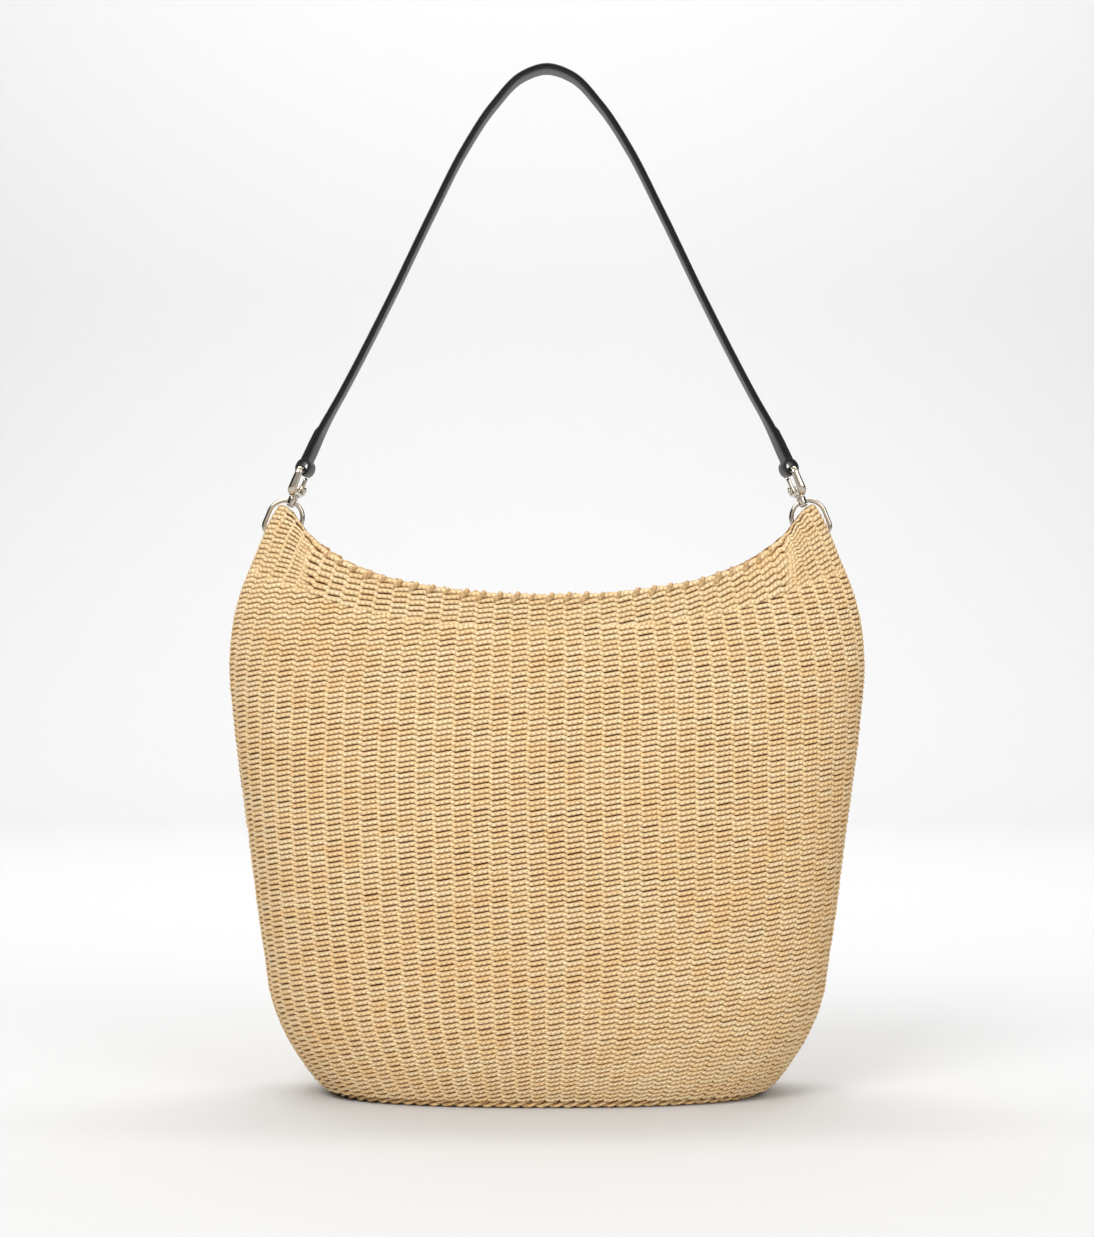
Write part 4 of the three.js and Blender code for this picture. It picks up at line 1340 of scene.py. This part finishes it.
def strap_half(name, side):
    spots, centres, sides, ups, halves = strap_frames(name, side)
    hook_end = hook_frame(name) @ Vector((0, 0, STRAP["top"] + 1)) * MM
    strap_start = centres[int(np.searchsorted(spots, 52))] * MM
    blend = (f"hook_{name}", strap_start, hook_end)
    # The strap starts inside the neck of its end loop.
    lead = (centres[0] - centres[1]).normalized()
    centres = [centres[0] + lead * 3.5] + centres
    sides, ups, halves = [sides[0]] + sides, [ups[0]] + ups, [halves[0]] + halves
    for label, low, high, node, face in (("outer", 0.02, STRAP["layer"], "strap_outer_layer", LEATHER),
                                         ("inner", -0.02, -STRAP["layer"], "strap_inner_layer", LIT_UNDERSIDE)):
        sections = [layer_section(half, low, high, math.copysign(0.08, high)) for half in halves]
        verts, faces = sweep_mesh(centres, sides, ups, sections)
        count = len(sections[0])
        obj = new_object(f"strap_{label}_{name}", [v * MM for v in verts], faces)
        obj.data.materials.append(face)
        obj.data.materials.append(EDGE_PAINT)
        round_faces = count * (len(centres) - 1)
        painted = [k < round_faces and k % count in STRAP_EDGE_FACES for k in range(len(faces))]
        obj.data.polygons.foreach_set("material_index", [int(edge) for edge in painted])
        sharp_edges(outward(obj), 60)
        finish_piece(obj, None, "strap", [node], blend)
    turned_end(name, centres, sides, ups, halves, blend)


def turned_end(name, centres, sides, ups, halves, blend):
    """The strap's end, folded back up outside the neck, thinned to a wedge and sewn through."""
    count = 9
    low = STRAP["layer"] - 0.25
    sections = []
    for k, half in enumerate(halves[:count]):
        thick = 1.35 * (1 - 0.25 * k / count) if k < count - 1 else 0.7
        sections.append(layer_section(half - 0.15, low, low + thick, 0.05))
    verts, faces = sweep_mesh(centres[:count], sides[:count], ups[:count], sections)
    obj = outward(new_object(f"strap_turned_end_{name}", [v * MM for v in verts], faces))
    finish_piece(obj, LEATHER, "strap", (), blend)
    lines = []
    for k in (4, 7):
        c, s, u, half = centres[k], sides[k], ups[k], halves[k]
        height = low + 1.35 * (1 - 0.25 * k / count) + 0.12
        across = np.linspace(-half + 2.2, half - 2.2, 5)
        lines.append(([c + s * float(t) + u * height for t in across], [u] * len(across)))
    thread = stitched_lines(f"strap_neck_stitches_{name}", lines, THREAD, Pitch=0.0026, Length=0.0022)
    finish_piece(thread, None, "strap", (), blend)


def bezier(a, b, c, steps):
    """Points on a curve from a to c that bends towards b, without its last point."""
    shares = np.linspace(0, 1, steps)[:-1]
    return [tuple((1 - t) ** 2 * a[k] + 2 * t * (1 - t) * b[k] + t * t * c[k] for k in (0, 1))
            for t in shares]


def strap_eye(name):
    """The strap's turned end: a round eye of leather that the hook's upper bar sits in."""
    w, wall, low, shoulder, top = (STRAP[key] for key in ("half", "wall", "low", "shoulder", "neck"))
    middle, side = low - wall / 2, w - wall / 2
    line = bezier((-side, shoulder), (-side, middle), (0, middle), 9)
    line += bezier((0, middle), (side, middle), (side, shoulder), 9)
    line += bezier((side, shoulder), (side, top), (0.62, top + 1.2), 7)
    line += [(0.62, top + 1.2), (0.75, STRAP["top"])]
    other = [(-x, z) for x, z in line[16:]][::-1]
    line = other[:-1] + line
    points, sides, ups = path_frames([(x, 0, z) for x, z in line], (0, 1, 0))
    half = STRAP["loop_width"] / 2
    thick = wall / 2 + 0.1
    end = [(half - 0.4, thick), (half - 0.08, thick - 0.2), (half, 0), (half - 0.08, -thick + 0.2),
           (half - 0.4, -thick)]
    section = [(-a, b) for a, b in reversed(end)] + [(0, thick + 0.05)] + end + [(0, -thick)]
    verts, faces = sweep_mesh(points, sides, ups, [section] * len(points))
    obj = outward(new_object(f"strap_eye_{name}", in_place(verts, hook_frame(name)), faces))
    finish_piece(obj, LEATHER, f"hook_{name}", [f"strap_loop_{name}"])


for side_name, side_sign in SIDES:
    strap_half(side_name, side_sign)
    strap_eye(side_name)

# ---------- Camera, floor and lights ----------

CAMERA_DISTANCE = 1.6
CAMERA_HEIGHT = 0.297
FRAME_HEIGHT = 0.777  # how much the picture takes in, at the bag


def camera():
    data = bpy.data.cameras.new("camera")
    data.sensor_width = 36.0
    data.lens = 36.0 * CAMERA_DISTANCE / FRAME_HEIGHT
    data.clip_end = 50
    obj = bpy.data.objects.new("camera", data)
    obj.location = (0, -CAMERA_DISTANCE, CAMERA_HEIGHT)
    obj.rotation_euler = (math.pi / 2, 0, 0)
    bpy.context.scene.collection.objects.link(obj)
    bpy.context.scene.camera = obj


def area_light(name, place, target, size, power):
    data = bpy.data.lights.new(name, "AREA")
    data.shape = "RECTANGLE"
    data.size, data.size_y = size
    data.energy = power
    obj = bpy.data.objects.new(name, data)
    obj.location = place
    obj.rotation_euler = (Vector(target) - Vector(place)).to_track_quat("-Z", "Y").to_euler()
    bpy.context.scene.collection.objects.link(obj)


def studio():
    material, n, shader = start_material("pale floor", (0.8, 0.8, 0.8))
    shader.inputs["Base Color"].default_value = (0.63, 0.63, 0.63, 1)
    shader.inputs["Roughness"].default_value = 0.9
    back, bend, height, half = 2.2, 0.9, 3.2, 1.35
    turns = np.linspace(0, math.pi / 2, 16)
    profile = [(back + bend * math.sin(t), bend - bend * math.cos(t)) for t in turns]
    profile.append((back + bend, height))
    verts = [(x, y, 0) for y in (-20, back) for x in (-20, 20)]
    verts += [(x, y, z) for y, z in profile for x in (-half, half)]
    faces = [(0, 1, 3, 2)] + [(2 * i, 2 * i + 1, 2 * i + 3, 2 * i + 2) for i in range(2, len(profile) + 1)]
    floor = new_object("floor", verts, faces)
    floor.data.materials.append(material)
    world = bpy.data.worlds.new("studio")
    world.use_nodes = True
    n = Nodes(world.node_tree)
    # The room is light overhead and behind the bag, and dark low down at the two sides and behind the camera.
    direction = n.add("ShaderNodeSeparateXYZ", {"Vector": n.add("ShaderNodeTexCoord").outputs["Generated"]})
    beside = n.remap(n.math("ABSOLUTE", direction.outputs["X"]), 0.42, 0.62)
    low = n.remap(direction.outputs["Z"], 0.7, 0.45)
    behind = n.remap(direction.outputs["Y"], -0.1, -0.75, 0.0, 0.45)
    dark = n.math("MAXIMUM", n.math("MULTIPLY", beside, low), n.math("MULTIPLY", behind, low))
    seen = n.add("ShaderNodeLightPath").outputs["Is Camera Ray"]
    dark = n.math("MULTIPLY", dark, n.math("SUBTRACT", 1.0, seen))
    strength = n.remap(dark, 0.0, 1.0, 0.92, 0.04)
    room = n.add("ShaderNodeBackground", {"Color": (1, 1, 1, 1), "Strength": strength})
    output = n.add("ShaderNodeOutputWorld")
    n.tree.links.new(room.outputs[0], output.inputs[0])
    bpy.context.scene.world = world
    area_light("key", (-1.1, -2.0, 2.1), (0, 0, 0.25), (1.4, 1.4), 44)
    area_light("fill", (1.5, -1.9, 1.3), (0, 0, 0.25), (1.4, 1.4), 19.5)
    area_light("backdrop", (0, 0.9, 2.7), (0, 2.9, 0.5), (2.6, 1.0), 71)
    view = bpy.context.scene.view_settings
    view.view_transform = "Standard"
    view.look = "None"


camera()
studio()
